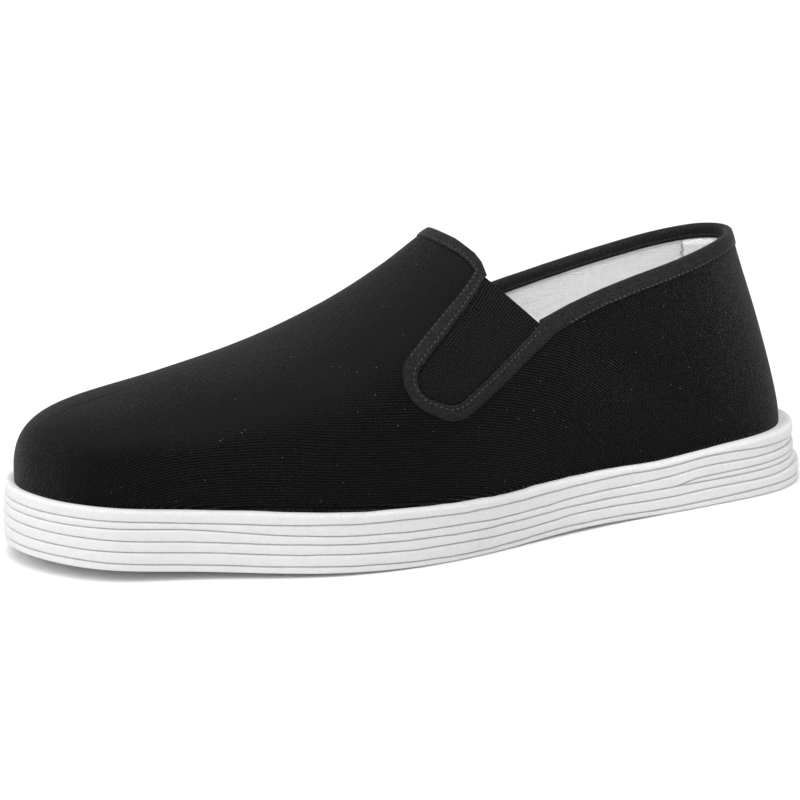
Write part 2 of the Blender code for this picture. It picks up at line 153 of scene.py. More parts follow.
# y, how far the foot of the upper stands inside the sole's outline
FEATHER_INSET = [(-140.0, 3.4), (-120.0, 3.2), (-100.0, 3.0), (60.0, 3.0), (120.0, 4.9), (140.0, 5.8)]

# name, then y, x, z and half width of the crest line, and the shape of the wall below it:
# rise and bulge of the lower half, reach and lean of the upper half
SECTIONS = [
    ("toe", -98.0, -13.0, 51.1, 0.0, 0.74, 0.03, 0.70, 0.0),
    ("toes", -78.0, -11.0, 55.5, 0.0, 0.64, 0.12, 0.61, 0.0),
    ("joint", -54.0, -8.0, 61.9, 0.0, 0.64, 0.04, 0.70, 0.0),
    ("instep_front", -30.0, -5.0, 73.0, 0.0, 0.62, 0.03, 0.56, 0.0),
    ("instep_mid", -10.0, -3.0, 84.9, 0.0, 0.60, 0.03, 0.54, 0.0),
    ("instep", 6.0, -1.0, 96.5, 0.0, 0.56, 0.03, 0.50, 0.0),
    ("mouth_front", 30.0, 0.0, 108.0, 7.0, 0.40, 0.04, 0.16, 0.26),
    ("ankle", 60.0, 0.0, 116.0, 9.0, 0.30, 0.05, 0.0, 0.40),
    ("ankle_back", 88.0, 0.0, 118.0, 10.0, 0.22, 0.02, 0.0, 0.42),
    ("heel", 106.0, 0.0, 111.1, 10.0, 0.14, 0.0, 0.0, 0.45),
]

# y, z of the front edge of the mouth, seen from the side, and of the lower edge of its tape
THROAT_EDGE = [
    (-1.0, 103.0),
    (2.3, 95.4),
    (3.1, 94.5),
    (4.6, 93.6),
    (6.2, 91.8),
    (8.0, 89.8),
    (9.1, 87.4),
    (GORE_FRONT_TOP_Y, 83.6),
]
THROAT_TAPE = [
    (-4.5, 99.0),
    (-1.2, 93.0),
    (-0.2, 92.2),
    (1.0, 91.3),
    (2.7, 89.9),
    (4.7, 87.7),
    (5.7, 84.84),
    (6.5, 82.6),
]

# y, z of the collar's top edge and of the lower edge of its tape
COLLAR_EDGE = [
    (GORE_BACK_TOP_Y, 67.4),
    (40.0, 71.3),
    (53.0, 74.4),
    (66.0, 77.1),
    (80.0, 79.7),
    (94.0, 82.5),
    (108.0, 85.3),
    (124.0, 87.8),
]
COLLAR_TAPE = [
    (44.0, 67.5),
    (53.0, 69.8),
    (66.0, 72.5),
    (80.0, 75.1),
    (94.0, 77.9),
    (108.0, 80.7),
    (124.0, 83.2),
]

# name, y, z and radius of the corners of the gore and of its tape, seen from the side
GORE = [
    ("front_top", GORE_FRONT_TOP_Y, 83.66, 0.0),
    ("front_foot", -26.8, 53.9, 5.0),
    ("foot", -11.0, 47.6, 8.0),
    ("back_top", GORE_BACK_TOP_Y, 67.41, 0.0),
]
GORE_TAPE = [
    ("front_top", 9.1, 87.44, 0.0),
    ("front_foot", -34.5, 54.1, 9.0),
    ("foot", -11.5, 41.8, 12.0),
    ("back_top", 32.0, 64.0, 20.0),
    ("collar", 44.0, 67.5, 0.0),
]

# name, side, y, z, slope in degrees, half length, half width and height of each soft crease
CREASES = [
    ("over_toes", 1, -86.0, 42.0, -12.0, 26.0, 9.0, -0.5),
    ("joint_dip", 1, -52.0, 44.0, 24.0, 22.0, 8.0, 0.45),
    ("below_gore", 1, -18.0, 34.0, -10.0, 24.0, 7.0, -0.55),
    ("behind_gore", 1, 34.0, 52.0, 34.0, 22.0, 7.0, 0.5),
    ("quarter", 1, 62.0, 46.0, -28.0, 30.0, 9.0, -0.6),
    ("heel_side", 1, 100.0, 58.0, 12.0, 18.0, 10.0, 0.45),
    ("over_toes_inner", -1, -80.0, 42.0, 10.0, 26.0, 9.0, -0.5),
    ("arch", -1, 4.0, 36.0, -8.0, 30.0, 8.0, -0.7),
    ("quarter_inner", -1, 58.0, 50.0, 26.0, 30.0, 9.0, 0.5),
    ("heel_inner", -1, 104.0, 50.0, -14.0, 18.0, 9.0, -0.4),
]

# distance round the foot line from the toe tip, angle of the twill to that line, wales per millimetre
TWILL = [
    (0.0, -90.0, 1.9),
    (18.0, -62.0, 1.9),
    (36.0, -32.0, 1.7),
    (55.0, -12.0, 1.4),
    (75.0, -3.0, 1.25),
    (95.0, 0.0, 1.15),
    (135.0, 2.0, 1.15),
    (165.0, 18.0, 1.2),
    (195.0, 34.0, 1.2),
    (225.0, 40.0, 1.2),
    (330.0, 40.0, 1.2),
]
# up to the first distance the wales run together at the crest, from the second on they keep their spacing
TOE_WEAVE_START, TOE_WEAVE_END = 55.0, 110.0
SURFACE_STEP = 2e-3
NEWTON_STEP = 1e-4


def glide(rows):
    """Smooth curve through a table: between two rows it never passes either of them."""
    table = np.array(rows, float)
    x, y = table[:, 0], table[:, 1:]
    step = np.diff(x)[:, None]
    rate = np.diff(y, axis=0) / step
    slope = np.zeros_like(y)
    slope[0], slope[-1] = rate[0], rate[-1]
    before, after = 2 * step[1:] + step[:-1], step[1:] + 2 * step[:-1]
    same = rate[:-1] * rate[1:] > 0
    safe = np.where(same, rate[:-1], 1), np.where(same, rate[1:], 1)
    slope[1:-1] = np.where(same, (before + after) / (before / safe[0] + after / safe[1]), 0)

    def at(q):
        q = np.clip(np.asarray(q, float), x[0], x[-1])
        i = np.clip(np.searchsorted(x, q, side="right") - 1, 0, len(x) - 2)
        s = ((q - x[i]) / step[i, 0])[..., None]
        ends = y[i] * (1 + 2 * s) * (1 - s) ** 2 + y[i + 1] * s * s * (3 - 2 * s)
        out = ends + step[i] * (slope[i] * s * (1 - s) ** 2 - slope[i + 1] * s * s * (1 - s))
        return out[..., 0] if y.shape[1] == 1 else out

    return at


def running_length(points):
    """Length along a path up to each of its points."""
    return np.r_[0, np.cumsum(np.linalg.norm(np.diff(points, axis=0), axis=1))]


def sample(places, along, path):
    """Rows of a path, known at the lengths along, read off at other places."""
    return np.stack([np.interp(places, along, column) for column in path.T], -1)


def closed_curve(rows, samples=4800):
    """Closed cubic spline through the outline's rows, as evenly spread points."""
    points = np.array([row[1:] for row in rows] + [rows[0][1:]], float)
    along = running_length(points)
    count, step = len(along), np.diff(along)
    rate = np.diff(points, axis=0) / step[:, None]
    system, right = np.zeros((count, count)), np.zeros_like(points)
    for i in range(1, count - 1):
        system[i, i - 1 : i + 2] = step[i - 1], 2 * (step[i - 1] + step[i]), step[i]
        right[i] = 6 * (rate[i] - rate[i - 1])
    system[0, 0], system[0, -1] = 1, -1
    system[-1, [0, 1]] += 2 * step[0], step[0]
    system[-1, [-2, -1]] += step[-1], 2 * step[-1]
    right[-1] = 6 * (rate[0] - rate[-1])
    bend = np.linalg.solve(system, right)
    q = np.linspace(0, along[-1], samples + 1)[:-1]
    i = np.clip(np.searchsorted(along, q, side="right") - 1, 0, count - 2)
    a = ((along[i + 1] - q) / step[i])[:, None]
    b = 1 - a
    cubic = ((a**3 - a) * bend[i] + (b**3 - b) * bend[i + 1]) * (step[i] ** 2)[:, None] / 6
    return a * points[i] + b * points[i + 1] + cubic


def grow(loop, distance):
    """Closed plan loop moved outward by a distance that may change along it."""
    along = np.roll(loop, -1, 0) - np.roll(loop, 1, 0)
    along /= np.linalg.norm(along, axis=1, keepdims=True)
    outward = np.stack([along[:, 1], -along[:, 0]], 1)
    area = np.sum(loop[:, 0] * np.roll(loop[:, 1], -1) - np.roll(loop[:, 0], -1) * loop[:, 1])
    return loop + outward * np.sign(area) * np.reshape(distance, (-1, 1))


LOOP = closed_curve(OUTLINE)
CENTRE = np.array([(LOOP[:, 0].max() + LOOP[:, 0].min()) / 2, CENTRE_Y, 0.0])
sole_height = glide(SOLE_HEIGHT)
ply_lines = glide(PLY_LINES)
feather_inset = glide(FEATHER_INSET)
section_at = glide([row[1:] for row in SECTIONS])
FEATHER = grow(LOOP, -feather_inset(LOOP[:, 1]))
CREST_START, CREST_END = SECTIONS[0][1], SECTIONS[-1][1]


def floor_lift(y):
    """Toe spring in front of the joint and the slight arch under the waist."""
    spring = TOE_SPRING * np.clip((SPRING_START - y) / SPRING_LENGTH, 0, 1.1) ** SPRING_CURVE
    waist = np.clip((y - ARCH_FRONT) / (ARCH_BACK - ARCH_FRONT), 0, 1)
    return spring + ARCH_LIFT * np.sin(np.pi * waist) ** 2


def line_height(line, y):
    """Height of line 0 (floor) to line 7 (seat) between the plies."""
    shares = np.concatenate([np.zeros_like(y)[..., None], ply_lines(y), np.ones_like(y)[..., None]], -1)
    return floor_lift(y) + shares[..., line] * sole_height(y)


def seat(y):
    return line_height(SEAT_LINE, np.asarray(y, float))


def side_of(loop, side):
    """The loop's outer (1) or inner (-1) half from toe tip to heel back, with its running length."""
    tip, heel, count = loop[:, 1].argmin(), loop[:, 1].argmax(), len(loop)
    forward = (tip + np.arange((heel - tip) % count + 1)) % count
    backward = (tip - np.arange((tip - heel) % count + 1)) % count
    outer_first = loop[forward[len(forward) // 2], 0] > 0
    half = loop[forward if (side > 0) == outer_first else backward]
    along = running_length(half)
    return half, along / along[-1]


FEATHER_SIDES = {side: side_of(FEATHER, side) for side in SIDES}
FOOT_LENGTH = np.linalg.norm(np.diff(FEATHER, axis=0), axis=1).sum() / 2


def last_point(side, a, v):
    """Surface of the last: a runs from toe tip (0) to heel back (1), v from foot to crest.

    Each wall line is a cubic, (1-v)^3 foot + 3(1-v)^2 v low + 3(1-v)v^2 high + v^3 crest, flat across
    the crest.
    """
    a, v = np.broadcast_arrays(np.asarray(a, float), np.asarray(v, float))
    half, along = FEATHER_SIDES[side]
    x, y = np.interp(a, along, half[:, 0]), np.interp(a, along, half[:, 1])
    foot = np.stack([x, y, seat(y) + GAP], -1)
    crest_y = CREST_START + (CREST_END - CREST_START) * (1 - np.cos(np.pi * a)) / 2
    crest_x, crest_z, width, rise, bulge, reach, lean = np.moveaxis(section_at(crest_y), -1, 0)
    ahead, behind = np.minimum(crest_y + 0.5, CREST_END), np.maximum(crest_y - 0.5, CREST_START)
    slope = (section_at(ahead)[..., 1] - section_at(behind)[..., 1]) / (ahead - behind)
    round_end = np.clip((crest_y - HEEL_ROUND_START) / (CREST_END - HEEL_ROUND_START), 0, 1)
    crest = np.stack([crest_x + side * width * np.sqrt(1 - round_end**2), crest_y, crest_z], -1)
    flat = (foot - crest) * [1, 1, 0]
    lay = flat + np.stack([0 * x, 0 * x, slope * flat[..., 1]], -1)
    up = np.stack([0 * x, 0 * x, (crest_z - foot[..., 2]) * rise], -1)
    low = foot + up + flat * bulge[..., None]
    high = crest + lay * reach[..., None] + (foot - crest) * lean[..., None]
    w = v[..., None]
    return (1 - w) ** 3 * foot + 3 * (1 - w) ** 2 * w * low + 3 * (1 - w) * w**2 * high + w**3 * crest


def ease(low, high, value):
    """Smooth step from 0 at low to 1 at high."""
    share = np.clip((value - low) / (high - low), 0, 1)
    return share * share * (3 - 2 * share)


def dent(side, points, v):
    """Height of the soft creases: each is a long bell across and along its slope in the side view.

    They fade out towards the crest, where the two sides meet.
    """
    y, z = points[..., 1], points[..., 2]
    height = 0.0
    for _, on_side, y_mid, z_mid, slope, half_length, half_width, rise in CREASES:
        if on_side == side:
            turn = np.radians(slope)
            along = (y - y_mid) * np.cos(turn) + (z - z_mid) * np.sin(turn)
            across = (z - z_mid) * np.cos(turn) - (y - y_mid) * np.sin(turn)
            height = height + rise * np.exp(-((along / half_length) ** 2) - (across / half_width) ** 2)
    unevenness = np.sin(y / 8.3 + z / 11.0) + np.sin(y / 13.1 - z / 6.7)
    return (height + UNEVENNESS * unevenness) * (1 - ease(CREASE_FADE_START, CREASE_FADE_END, v))


def on_skin(side, a, v, lift=0.0):
    """Point of the shoe's skin, lift millimetres out along its normal, and that normal."""
    step = SURFACE_STEP
    a, v = np.broadcast_arrays(np.asarray(a, float), np.asarray(v, float))
    along = last_point(side, np.minimum(a + step, 1), v) - last_point(side, np.maximum(a - step, 0), v)
    upward = last_point(side, a, np.minimum(v + step, 1)) - last_point(side, a, v - step)
    normal = side * np.cross(along, upward)
    normal /= np.linalg.norm(normal, axis=-1, keepdims=True)
    point = last_point(side, a, v)
    return point + normal * (np.asarray(lift) + dent(side, point, v))[..., None], normal


def locate(side, yz):
    """The a and v of the point seen at (y, z) from the side: nearest lattice point, then Newton steps."""
    columns, rows = np.linspace(0.2, 0.98, 90), np.linspace(0.02, 0.97, 50)
    lattice_a, lattice_v = np.meshgrid(columns, rows, indexing="ij")
    seen = last_point(side, lattice_a, lattice_v)[..., 1:].reshape(-1, 2)
    nearest = ((yz[:, None] - seen[None]) ** 2).sum(-1).argmin(1)
    a, v = lattice_a.ravel()[nearest], lattice_v.ravel()[nearest]
    for _ in range(12):
        here = last_point(side, a, v)[:, 1:]
        by_a = (last_point(side, a + NEWTON_STEP, v)[:, 1:] - here) / NEWTON_STEP
        by_v = (last_point(side, a, v + NEWTON_STEP)[:, 1:] - here) / NEWTON_STEP
        miss = yz - here
        size = by_a[:, 0] * by_v[:, 1] - by_a[:, 1] * by_v[:, 0]
        a = np.clip(a + (miss[:, 0] * by_v[:, 1] - miss[:, 1] * by_v[:, 0]) / size, 0, 1)
        v = np.clip(v + (by_a[:, 0] * miss[:, 1] - by_a[:, 1] * miss[:, 0]) / size, 0, 1)
    return a, v


def first_rise(over, places):
    """For each row of values at evenly spread places, the place where they first rise above zero."""
    first = np.clip((over > 0).argmax(1), 1, len(places) - 1)
    rows = np.arange(len(over))
    low, high = over[rows, first - 1], over[rows, first]
    share = np.clip(low / (low - high), 0, 1)
    return places[first - 1] + share * (places[1] - places[0])


def crossing(side, a, line):
    """For each column a, the v at which it rises through a side-view line (y, z), or 1 at the crest."""
    line = np.array(line)
    v = np.linspace(0, 1, 801)
    point = last_point(side, a[:, None], v[None])
    over = point[..., 2] - np.interp(point[..., 1], line[:, 0], line[:, 1])
    return np.where((over > 0).any(1), first_rise(over, v), 1.0)


def rounded(rows, per_corner=15):
    """Open path through the rows (name, y, z, radius) with its corners rounded."""
    corner = np.array([row[1:3] for row in rows], float)
    path = [corner[0]]
    for k in range(1, len(rows) - 1):
        before, after = corner[k - 1] - corner[k], corner[k + 1] - corner[k]
        before /= np.linalg.norm(before)
        after /= np.linalg.norm(after)
        half = np.arccos(np.clip(before @ after, -1, 1)) / 2
        radius = rows[k][3]
        reach = radius / np.tan(half)
        middle = corner[k] + (before + after) / np.linalg.norm(before + after) * radius / np.sin(half)
        start, end = corner[k] + before * reach - middle, corner[k] + after * reach - middle
        sweep = np.arccos(np.clip(start @ end / radius**2, -1, 1))
        for share in np.linspace(0, 1, per_corner):
            turned = np.sin((1 - share) * sweep) * start + np.sin(share * sweep) * end
            path.append(middle + turned / np.sin(sweep))
    path.append(corner[-1])
    return np.array(path)


def spread(path, step):
    """Path resampled at an even step."""
    along = running_length(path)
    places = np.linspace(0, along[-1], int(along[-1] / step) + 2)
    return sample(places, along, path)


def distance_inside(polygon, points):
    """Signed distance of side-view points to a closed polygon, positive inside."""
    start, end = polygon, np.roll(polygon, -1, 0)
    edge = end - start
    rel = points[..., None, :] - start
    share = np.clip((rel * edge).sum(-1) / (edge**2).sum(-1), 0, 1)
    near = np.linalg.norm(rel - share[..., None] * edge, axis=-1).min(-1)
    y, z = points[..., 0, None], points[..., 1, None]
    straddles = (start[:, 1] > z) != (end[:, 1] > z)
    rise = np.where(edge[:, 1] == 0, 1, edge[:, 1])
    hits = straddles & (y < start[:, 0] + (z - start[:, 1]) / rise * edge[:, 0])
    return np.where(hits.sum(-1) % 2 == 1, near, -near)


def numbered(*shape):
    """Vertex numbers of a grid."""
    return np.arange(np.prod(shape)).reshape(shape)


def grid_faces(index):
    """Quads of a grid of vertex numbers."""
    quads = np.stack([index[:-1, :-1], index[1:, :-1], index[1:, 1:], index[:-1, 1:]], -1)
    return quads.reshape(-1, 4)


def vertex_normals(points, quads):
    """Unit normals: each vertex takes the sum of its faces' area vectors."""
    corners = points[quads]
    across = np.cross(corners[:, 2] - corners[:, 0], corners[:, 3] - corners[:, 1])
    total = np.zeros_like(points)
    for k in range(4):
        np.add.at(total, quads[:, k], across)
    return total / np.maximum(np.linalg.norm(total, axis=1, keepdims=True), 1e-9)


def strip_quads(index, side):
    """Quads of a strip whose section is a closed loop of rows."""
    quads = grid_faces(np.concatenate([index, index[:, :1]], 1))
    return quads[:, ::-1] if side < 0 else quads


def closed_rings(index):
    """Quads of rings one inside the other, with the first and the last ring filled by a cap."""
    quads = strip_quads(index, -1)
    count = index.shape[1]
    half = count // 2
    i = np.arange(half)
    for row, flip in ((index[0], 1), (index[-1], -1)):
        cap = np.stack([row[i], row[i + 1], row[2 * half - i - 1], row[(2 * half - i) % count]], 1)
        quads = np.concatenate([quads, cap[:, ::flip]])
    return quads


def joined(parts):
    """Points and quads of several meshes as one mesh."""
    all_points, all_quads, offset = [], [], 0
    for points, quads in parts:
        all_points.append(points.reshape(-1, 3))
        all_quads.append(quads + offset)
        offset += len(all_points[-1])
    return np.concatenate(all_points), np.concatenate(all_quads)


def make_piece(name, shape, look, nodes=(), weave=None, thickness=0.0, weld=0.0, relief=None):
    """Mesh piece from a shape, its points and quads, and a look, its material and slot; the slot is not
    used.

    Lengths are millimetres. weave is the UV map, thickness goes inward, and relief says for each point
    how strongly the twill lines show there; where it is low the black twill is painted paler, painted top
    light.
    """
    material, slot = look
    mesh = bpy.data.meshes.new(name)
    points, quads = shape
    points = (points.reshape(-1, 3) - CENTRE) * MM
    mesh.vertices.add(len(points))
    mesh.vertices.foreach_set("co", points.astype(np.float32).ravel())
    mesh.loops.add(quads.size)
    mesh.loops.foreach_set("vertex_index", quads.astype(np.int32).ravel())
    mesh.polygons.add(len(quads))
    mesh.polygons.foreach_set("loop_start", np.arange(0, quads.size, 4, dtype=np.int32))
    mesh.polygons.foreach_set("loop_total", np.full(len(quads), 4, np.int32))
    mesh.polygons.foreach_set("use_smooth", np.ones(len(quads), bool))
    if weave is not None:
        corner_weave = weave.reshape(-1, 2)[quads.ravel()]
        layer = mesh.uv_layers.new(name="weave")
        layer.data.foreach_set("uv", corner_weave.astype(np.float32).ravel())
    if relief is not None:
        shown = mesh.attributes.new("relief", "FLOAT", "POINT")
        shown.data.foreach_set("value", relief.astype(np.float32))
    mesh.update()
    mesh.validate()
    if weld:
        clean = bmesh.new()
        clean.from_mesh(mesh)
        bmesh.ops.remove_doubles(clean, verts=clean.verts, dist=weld * MM)
        bmesh.ops.dissolve_degenerate(clean, edges=clean.edges, dist=weld * MM * 0.5)
        if not thickness:
            bmesh.ops.recalc_face_normals(clean, faces=clean.faces)
        clean.to_mesh(mesh)
        clean.free()
    piece = bpy.data.objects.new(name, mesh)
    bpy.context.scene.collection.objects.link(piece)
    piece.data.materials.append(material)
    if thickness:
        wall = piece.modifiers.new("cloth thickness", "SOLIDIFY")
        wall.thickness = thickness * MM
        wall.offset = -1.0
        wall.use_even_offset = False
    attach(piece, "root")
    if nodes:
        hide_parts(*nodes)


# materials


class Value:
    """A number that changes over a surface: a shader socket that takes part in arithmetic."""

    def __init__(self, tree, socket):
        self.tree = tree
        self.socket = socket

    def math(self, operation, *others, swap=False):
        node = self.tree.nodes.new("ShaderNodeMath")
        node.operation = operation
        items = (*others, self) if swap else (self, *others)
        for slot, item in zip(node.inputs, items):
            if isinstance(item, Value):
                self.tree.links.new(item.socket, slot)
            else:
                slot.default_value = item
        return Value(self.tree, node.outputs[0])

    def __add__(self, other):
        return self.math("ADD", other)

    def __sub__(self, other):
        return self.math("SUBTRACT", other)

    def __rsub__(self, other):
        return self.math("SUBTRACT", other, swap=True)

    def __mul__(self, other):
        return self.math("MULTIPLY", other)

    def wave(self):
        """Sine with one whole wave per unit, from 0 to 1."""
        return (self * (2 * np.pi)).math("SINE") * 0.5 + 0.5

    def floor(self):
        return self.math("FLOOR")

    def above(self, edge):
        return self.math("GREATER_THAN", edge)

    def below(self, edge):
        return self.math("LESS_THAN", edge)


class Finish:
    """One material around a Principled shader; node() adds any node and sets or links its sockets."""

    def __init__(self, name, roughness, sheen=0.0, sheen_roughness=0.5, sheen_tint=(1, 1, 1)):
        self.material = bpy.data.materials.new(name)
        self.material.use_nodes = True
        self.tree = self.material.node_tree
        self.shader = self.tree.nodes["Principled BSDF"]
        self.shader.inputs["Roughness"].default_value = roughness
        self.shader.inputs["Sheen Weight"].default_value = sheen
        self.shader.inputs["Sheen Roughness"].default_value = sheen_roughness
        self.shader.inputs["Sheen Tint"].default_value = (*sheen_tint, 1)
        self.shader.inputs["Specular IOR Level"].default_value = 0.06

    def node(self, kind, sockets=None, output=0, **settings):
        node = self.tree.nodes.new("ShaderNode" + kind)
        for key, value in settings.items():
            setattr(node, key, value)
        for key, item in (sockets or {}).items():
            if isinstance(item, Value):
                self.tree.links.new(item.socket, node.inputs[key])
            else:
                node.inputs[key].default_value = item
        return Value(self.tree, node.outputs[output])

    def place(self):
        """Object coordinates."""
        return self.node("TexCoord", output="Object")

    def weave(self):
        """The two directions of the piece's own weave map."""
        both = self.node("SeparateXYZ", {0: self.node("UVMap", uv_map="weave")})
        return both, Value(self.tree, both.socket.node.outputs[1])

    def noise(self, scale, detail=2.0):
        """Smooth noise around a half, scale in waves per metre."""
        sockets = {"Vector": self.place(), "Scale": scale, "Detail": detail}
        return self.node("TexNoise", sockets, output="Fac")

    def step(self, value, low, high, to_low=0.0, to_high=1.0):
        """Smooth step of a value between two edges."""
        sockets = {"Value": value, "From Min": low, "From Max": high}
        sockets.update({"To Min": to_low, "To Max": to_high})
        return self.node("MapRange", sockets, interpolation_type="SMOOTHSTEP")

    def blend(self, share, first, second):
        """Colour between two colours."""
        mix = self.tree.nodes.new("ShaderNodeMix")
        mix.data_type = "RGBA"
        for slot, item in ((mix.inputs[0], share), (mix.inputs[6], first), (mix.inputs[7], second)):
            if isinstance(item, Value):
                self.tree.links.new(item.socket, slot)
            else:
                slot.default_value = (*item, 1) if isinstance(item, tuple) else item
        return Value(self.tree, mix.outputs[2])

    def lint(self, cell, size, share):
        """1 on rare specks: their spacing and radius in millimetres, and the share of cells with one."""
        sockets = {"Vector": self.place(), "Scale": 1000 / cell}
        voronoi = self.node("TexVoronoi", sockets, output="Distance")
        chance = self.node("SeparateColor", {0: Value(self.tree, voronoi.socket.node.outputs["Color"])})
        return voronoi.below(size / cell) * chance.above(1 - share)

    def finish(self, colour, height, distance):
        """The material with its colour and a bump, whose full height is the distance in millimetres."""
        self.tree.links.new(colour.socket, self.shader.inputs["Base Color"])
        bump = self.node("Bump", {"Height": height, "Distance": distance * MM}, output="Normal")
        self.tree.links.new(bump.socket, self.shader.inputs["Normal"])
        return self.material


BLACK_SHEEN = (0.9, 0.9, 0.92)


def twill_finish():
    """Black cotton twill: fine wales along the weave map, broken up by the yarn, with rare lint and
    painted top light where relief is low.
    """
    cloth = Finish("black twill", 0.9, sheen=0.24, sheen_roughness=0.24, sheen_tint=BLACK_SHEEN)
    _, across = cloth.weave()
    wobble = cloth.noise(260.0, 2.0)
    fuzz = cloth.noise(3800.0, 2.0)
    grain = cloth.noise(1500.0, 3.0)
    line = across + (wobble - 0.5) * 0.5
    relief = cloth.node("Attribute", output="Fac", attribute_name="relief")
    wale = line.wave() * relief
    height = wale * (grain + 0.35) + (fuzz - 0.5) * 0.6 + (grain - 0.5) * 1.1
    # painted top light: the cloth is painted paler where relief is low, on upward-facing tops and at the
    # toe tip, in place of light falling on them
    painted_top_light = (1.0 - relief) * 0.62
    tone = cloth.step(wale * (grain * 0.9 + 0.1) + grain * 0.75 + fuzz * 0.35 + painted_top_light, 0.35, 1.35)
    cotton = cloth.blend(tone, (0.0002, 0.0002, 0.0002), (0.0125, 0.0125, 0.0129))
    patchy = cloth.noise(38.0, 3.0)
    worn = cloth.blend(cloth.step(patchy, 0.35, 0.75, 0.0, 0.25), cotton, (0.0045, 0.0045, 0.0047))
    speck = cloth.lint(1.5, 0.17, 0.09)
    colour = cloth.blend(speck, worn, (0.13, 0.13, 0.13))
    return cloth.finish(colour, height, 0.26)


def tape_finish():
    """Black binding tape: close fine ribs across a smooth matt band, with a painted shadow line along its
    lower edge, where it lies on the upper.
    """
    cloth = Finish("black tape", 0.85, sheen=0.28, sheen_roughness=0.24, sheen_tint=BLACK_SHEEN)
    along, across = cloth.weave()
    fuzz = cloth.noise(4200.0, 3.0)
    rib = (along * 2.2 + across * 0.8).wave()
    grain = cloth.noise(1500.0, 3.0)
    height = rib * 0.35 + (fuzz - 0.5) * 0.7 + (grain - 0.5) * 0.9
    # painted shade: the tape is painted darker within 0.35 mm of its lower edge, a painted shadow line
    # where it lies on the upper
    edge = cloth.step(across, 0.05, 0.35)
    tone = cloth.step(rib * 0.3 + fuzz * 0.4 + grain * 0.6, 0.35, 1.0) * edge
    cotton = cloth.blend(tone, (0.0006, 0.0006, 0.0006), (0.0400, 0.0400, 0.0406))
    colour = cloth.blend(cloth.lint(2.2, 0.11, 0.03), cotton, (0.16, 0.16, 0.16))
    return cloth.finish(colour, height, 0.16)


def elastic_finish():
    """Black elastic: ribs along the gore, broken into staggered steps that grow towards its foot."""
    cloth = Finish("black elastic", 0.75, sheen=0.03, sheen_roughness=0.5, sheen_tint=BLACK_SHEEN)
    along, across = cloth.weave()
    sway = cloth.noise(320.0, 2.0)
    fuzz = cloth.noise(3600.0, 2.0)
    rib_line = across * 1.22 + (sway - 0.5) * 0.6
    rib = rib_line.wave()
    lower = cloth.step(along, 4.0, 26.0, 0.45, 1.0)
    cross = (along * 0.8 + (rib_line * 2).floor() * 0.5 + (sway - 0.5) * 2.4).wave()
    height = rib * (1.0 - lower * 0.45) + cross * lower * 0.7 + (fuzz - 0.5) * 0.5
    tone = cloth.step(height, 0.60, 1.05)
    colour = cloth.blend(tone, (0.0001, 0.0001, 0.0001), (0.0310, 0.0310, 0.0316))
    return cloth.finish(colour, height, 1.1)


def white_cloth_finish(name, wale, light, shade, stain):
    """White cotton: faint twill lines wale to the millimetre, soft mottling and a little grey dust."""
    cloth = Finish(name, 0.9, sheen=0.08, sheen_roughness=0.6)
    along, across = cloth.weave()
    fuzz = cloth.noise(2600.0, 3.0)
    sway = cloth.noise(220.0, 2.0)
    line = ((along + across) * wale + (sway - 0.5) * 0.8).wave()
    thread = ((along - across) * wale).wave()
    lump = cloth.noise(280.0, 2.0)
    height = line * 0.6 + thread * 0.25 + (fuzz - 0.5) * 0.9 + lump * 5.0
    grain = cloth.noise(900.0, 3.0)
    mottled = cloth.step(line * 0.3 + fuzz * 0.3 + grain * 0.5, 0.32, 0.78)
    cotton = cloth.blend(mottled, shade, light)
    dust = cloth.step(cloth.noise(70.0, 4.0), 0.52, 0.78, 0.0, stain)
    colour = cloth.blend(dust, cotton, (0.50, 0.49, 0.47))
    return cloth.finish(colour, height, 0.10)


def thread_finish(name, roughness, sheen, dark, light):
    """Sewing thread with a fine twist."""
    thread = Finish(name, roughness, sheen=sheen, sheen_roughness=0.4)
    twist = thread.noise(5200.0)
    colour = thread.blend(thread.step(twist, 0.3, 0.7), dark, light)
    return thread.finish(colour, twist, 0.05)


# each look is a material and the slot it stands for
black_twill = twill_finish(), "black_twill"
black_tape = tape_finish(), "black_tape"
black_elastic = elastic_finish(), "black_elastic"
lining_cloth = white_cloth_finish("white lining", 0.75, (0.96, 0.96, 0.955), (0.88, 0.88, 0.875), 0.03)
white_lining = lining_cloth, "white_lining"
sole_cloth = white_cloth_finish("white sole cloth", 1.1, (0.82, 0.82, 0.815), (0.70, 0.70, 0.695), 0.12)
white_sole_cloth = sole_cloth, "white_sole_cloth"
dark_yarn = thread_finish("black thread", 0.6, 0.15, (0.022, 0.022, 0.0222), (0.080, 0.080, 0.0806))
black_thread = dark_yarn, "black_tape"
pale_yarn = thread_finish("white thread", 0.7, 0.0, (0.16, 0.16, 0.155), (0.36, 0.36, 0.35))
white_thread = pale_yarn, "white_lining"


# upper cloth and lining

COLUMNS = 250
ROWS = 64
WEAVE_ROWS = 120
WEAVE_FADE_COLUMNS = 25
CREST_ROWS = 6.0
CREST_ROUNDS = 12
SUNK_UNDER_GORE = 0.75
CLOTH_DROP = 0.9
LINING_DROP = 0.4
TIP_RELIEF = 0.3
TIP_START, TIP_END = 8.0, 32.0
FLAT_RELIEF = 0.25
FLAT_START, FLAT_END = 0.50, 0.85
ABOVE_ALL = 140.0
gore_path = rounded(GORE)
tape_path = rounded(GORE_TAPE)
mouth_line = np.array(THROAT_EDGE + COLLAR_EDGE)
gore_area = np.concatenate([gore_path, [(GORE_BACK_TOP_Y, ABOVE_ALL), (GORE_FRONT_TOP_Y, ABOVE_ALL)]])

# y, how far below the mouth line the cloth stops
MOUTH_MARGIN = [
    (-5.0, 0.5),
    (8.0, 0.6),
    (GORE_FRONT_TOP_Y, 2.2),
    (GORE_BACK_TOP_Y, 2.2),
    (28.0, 0.5),
    (130.0, 0.5),
]


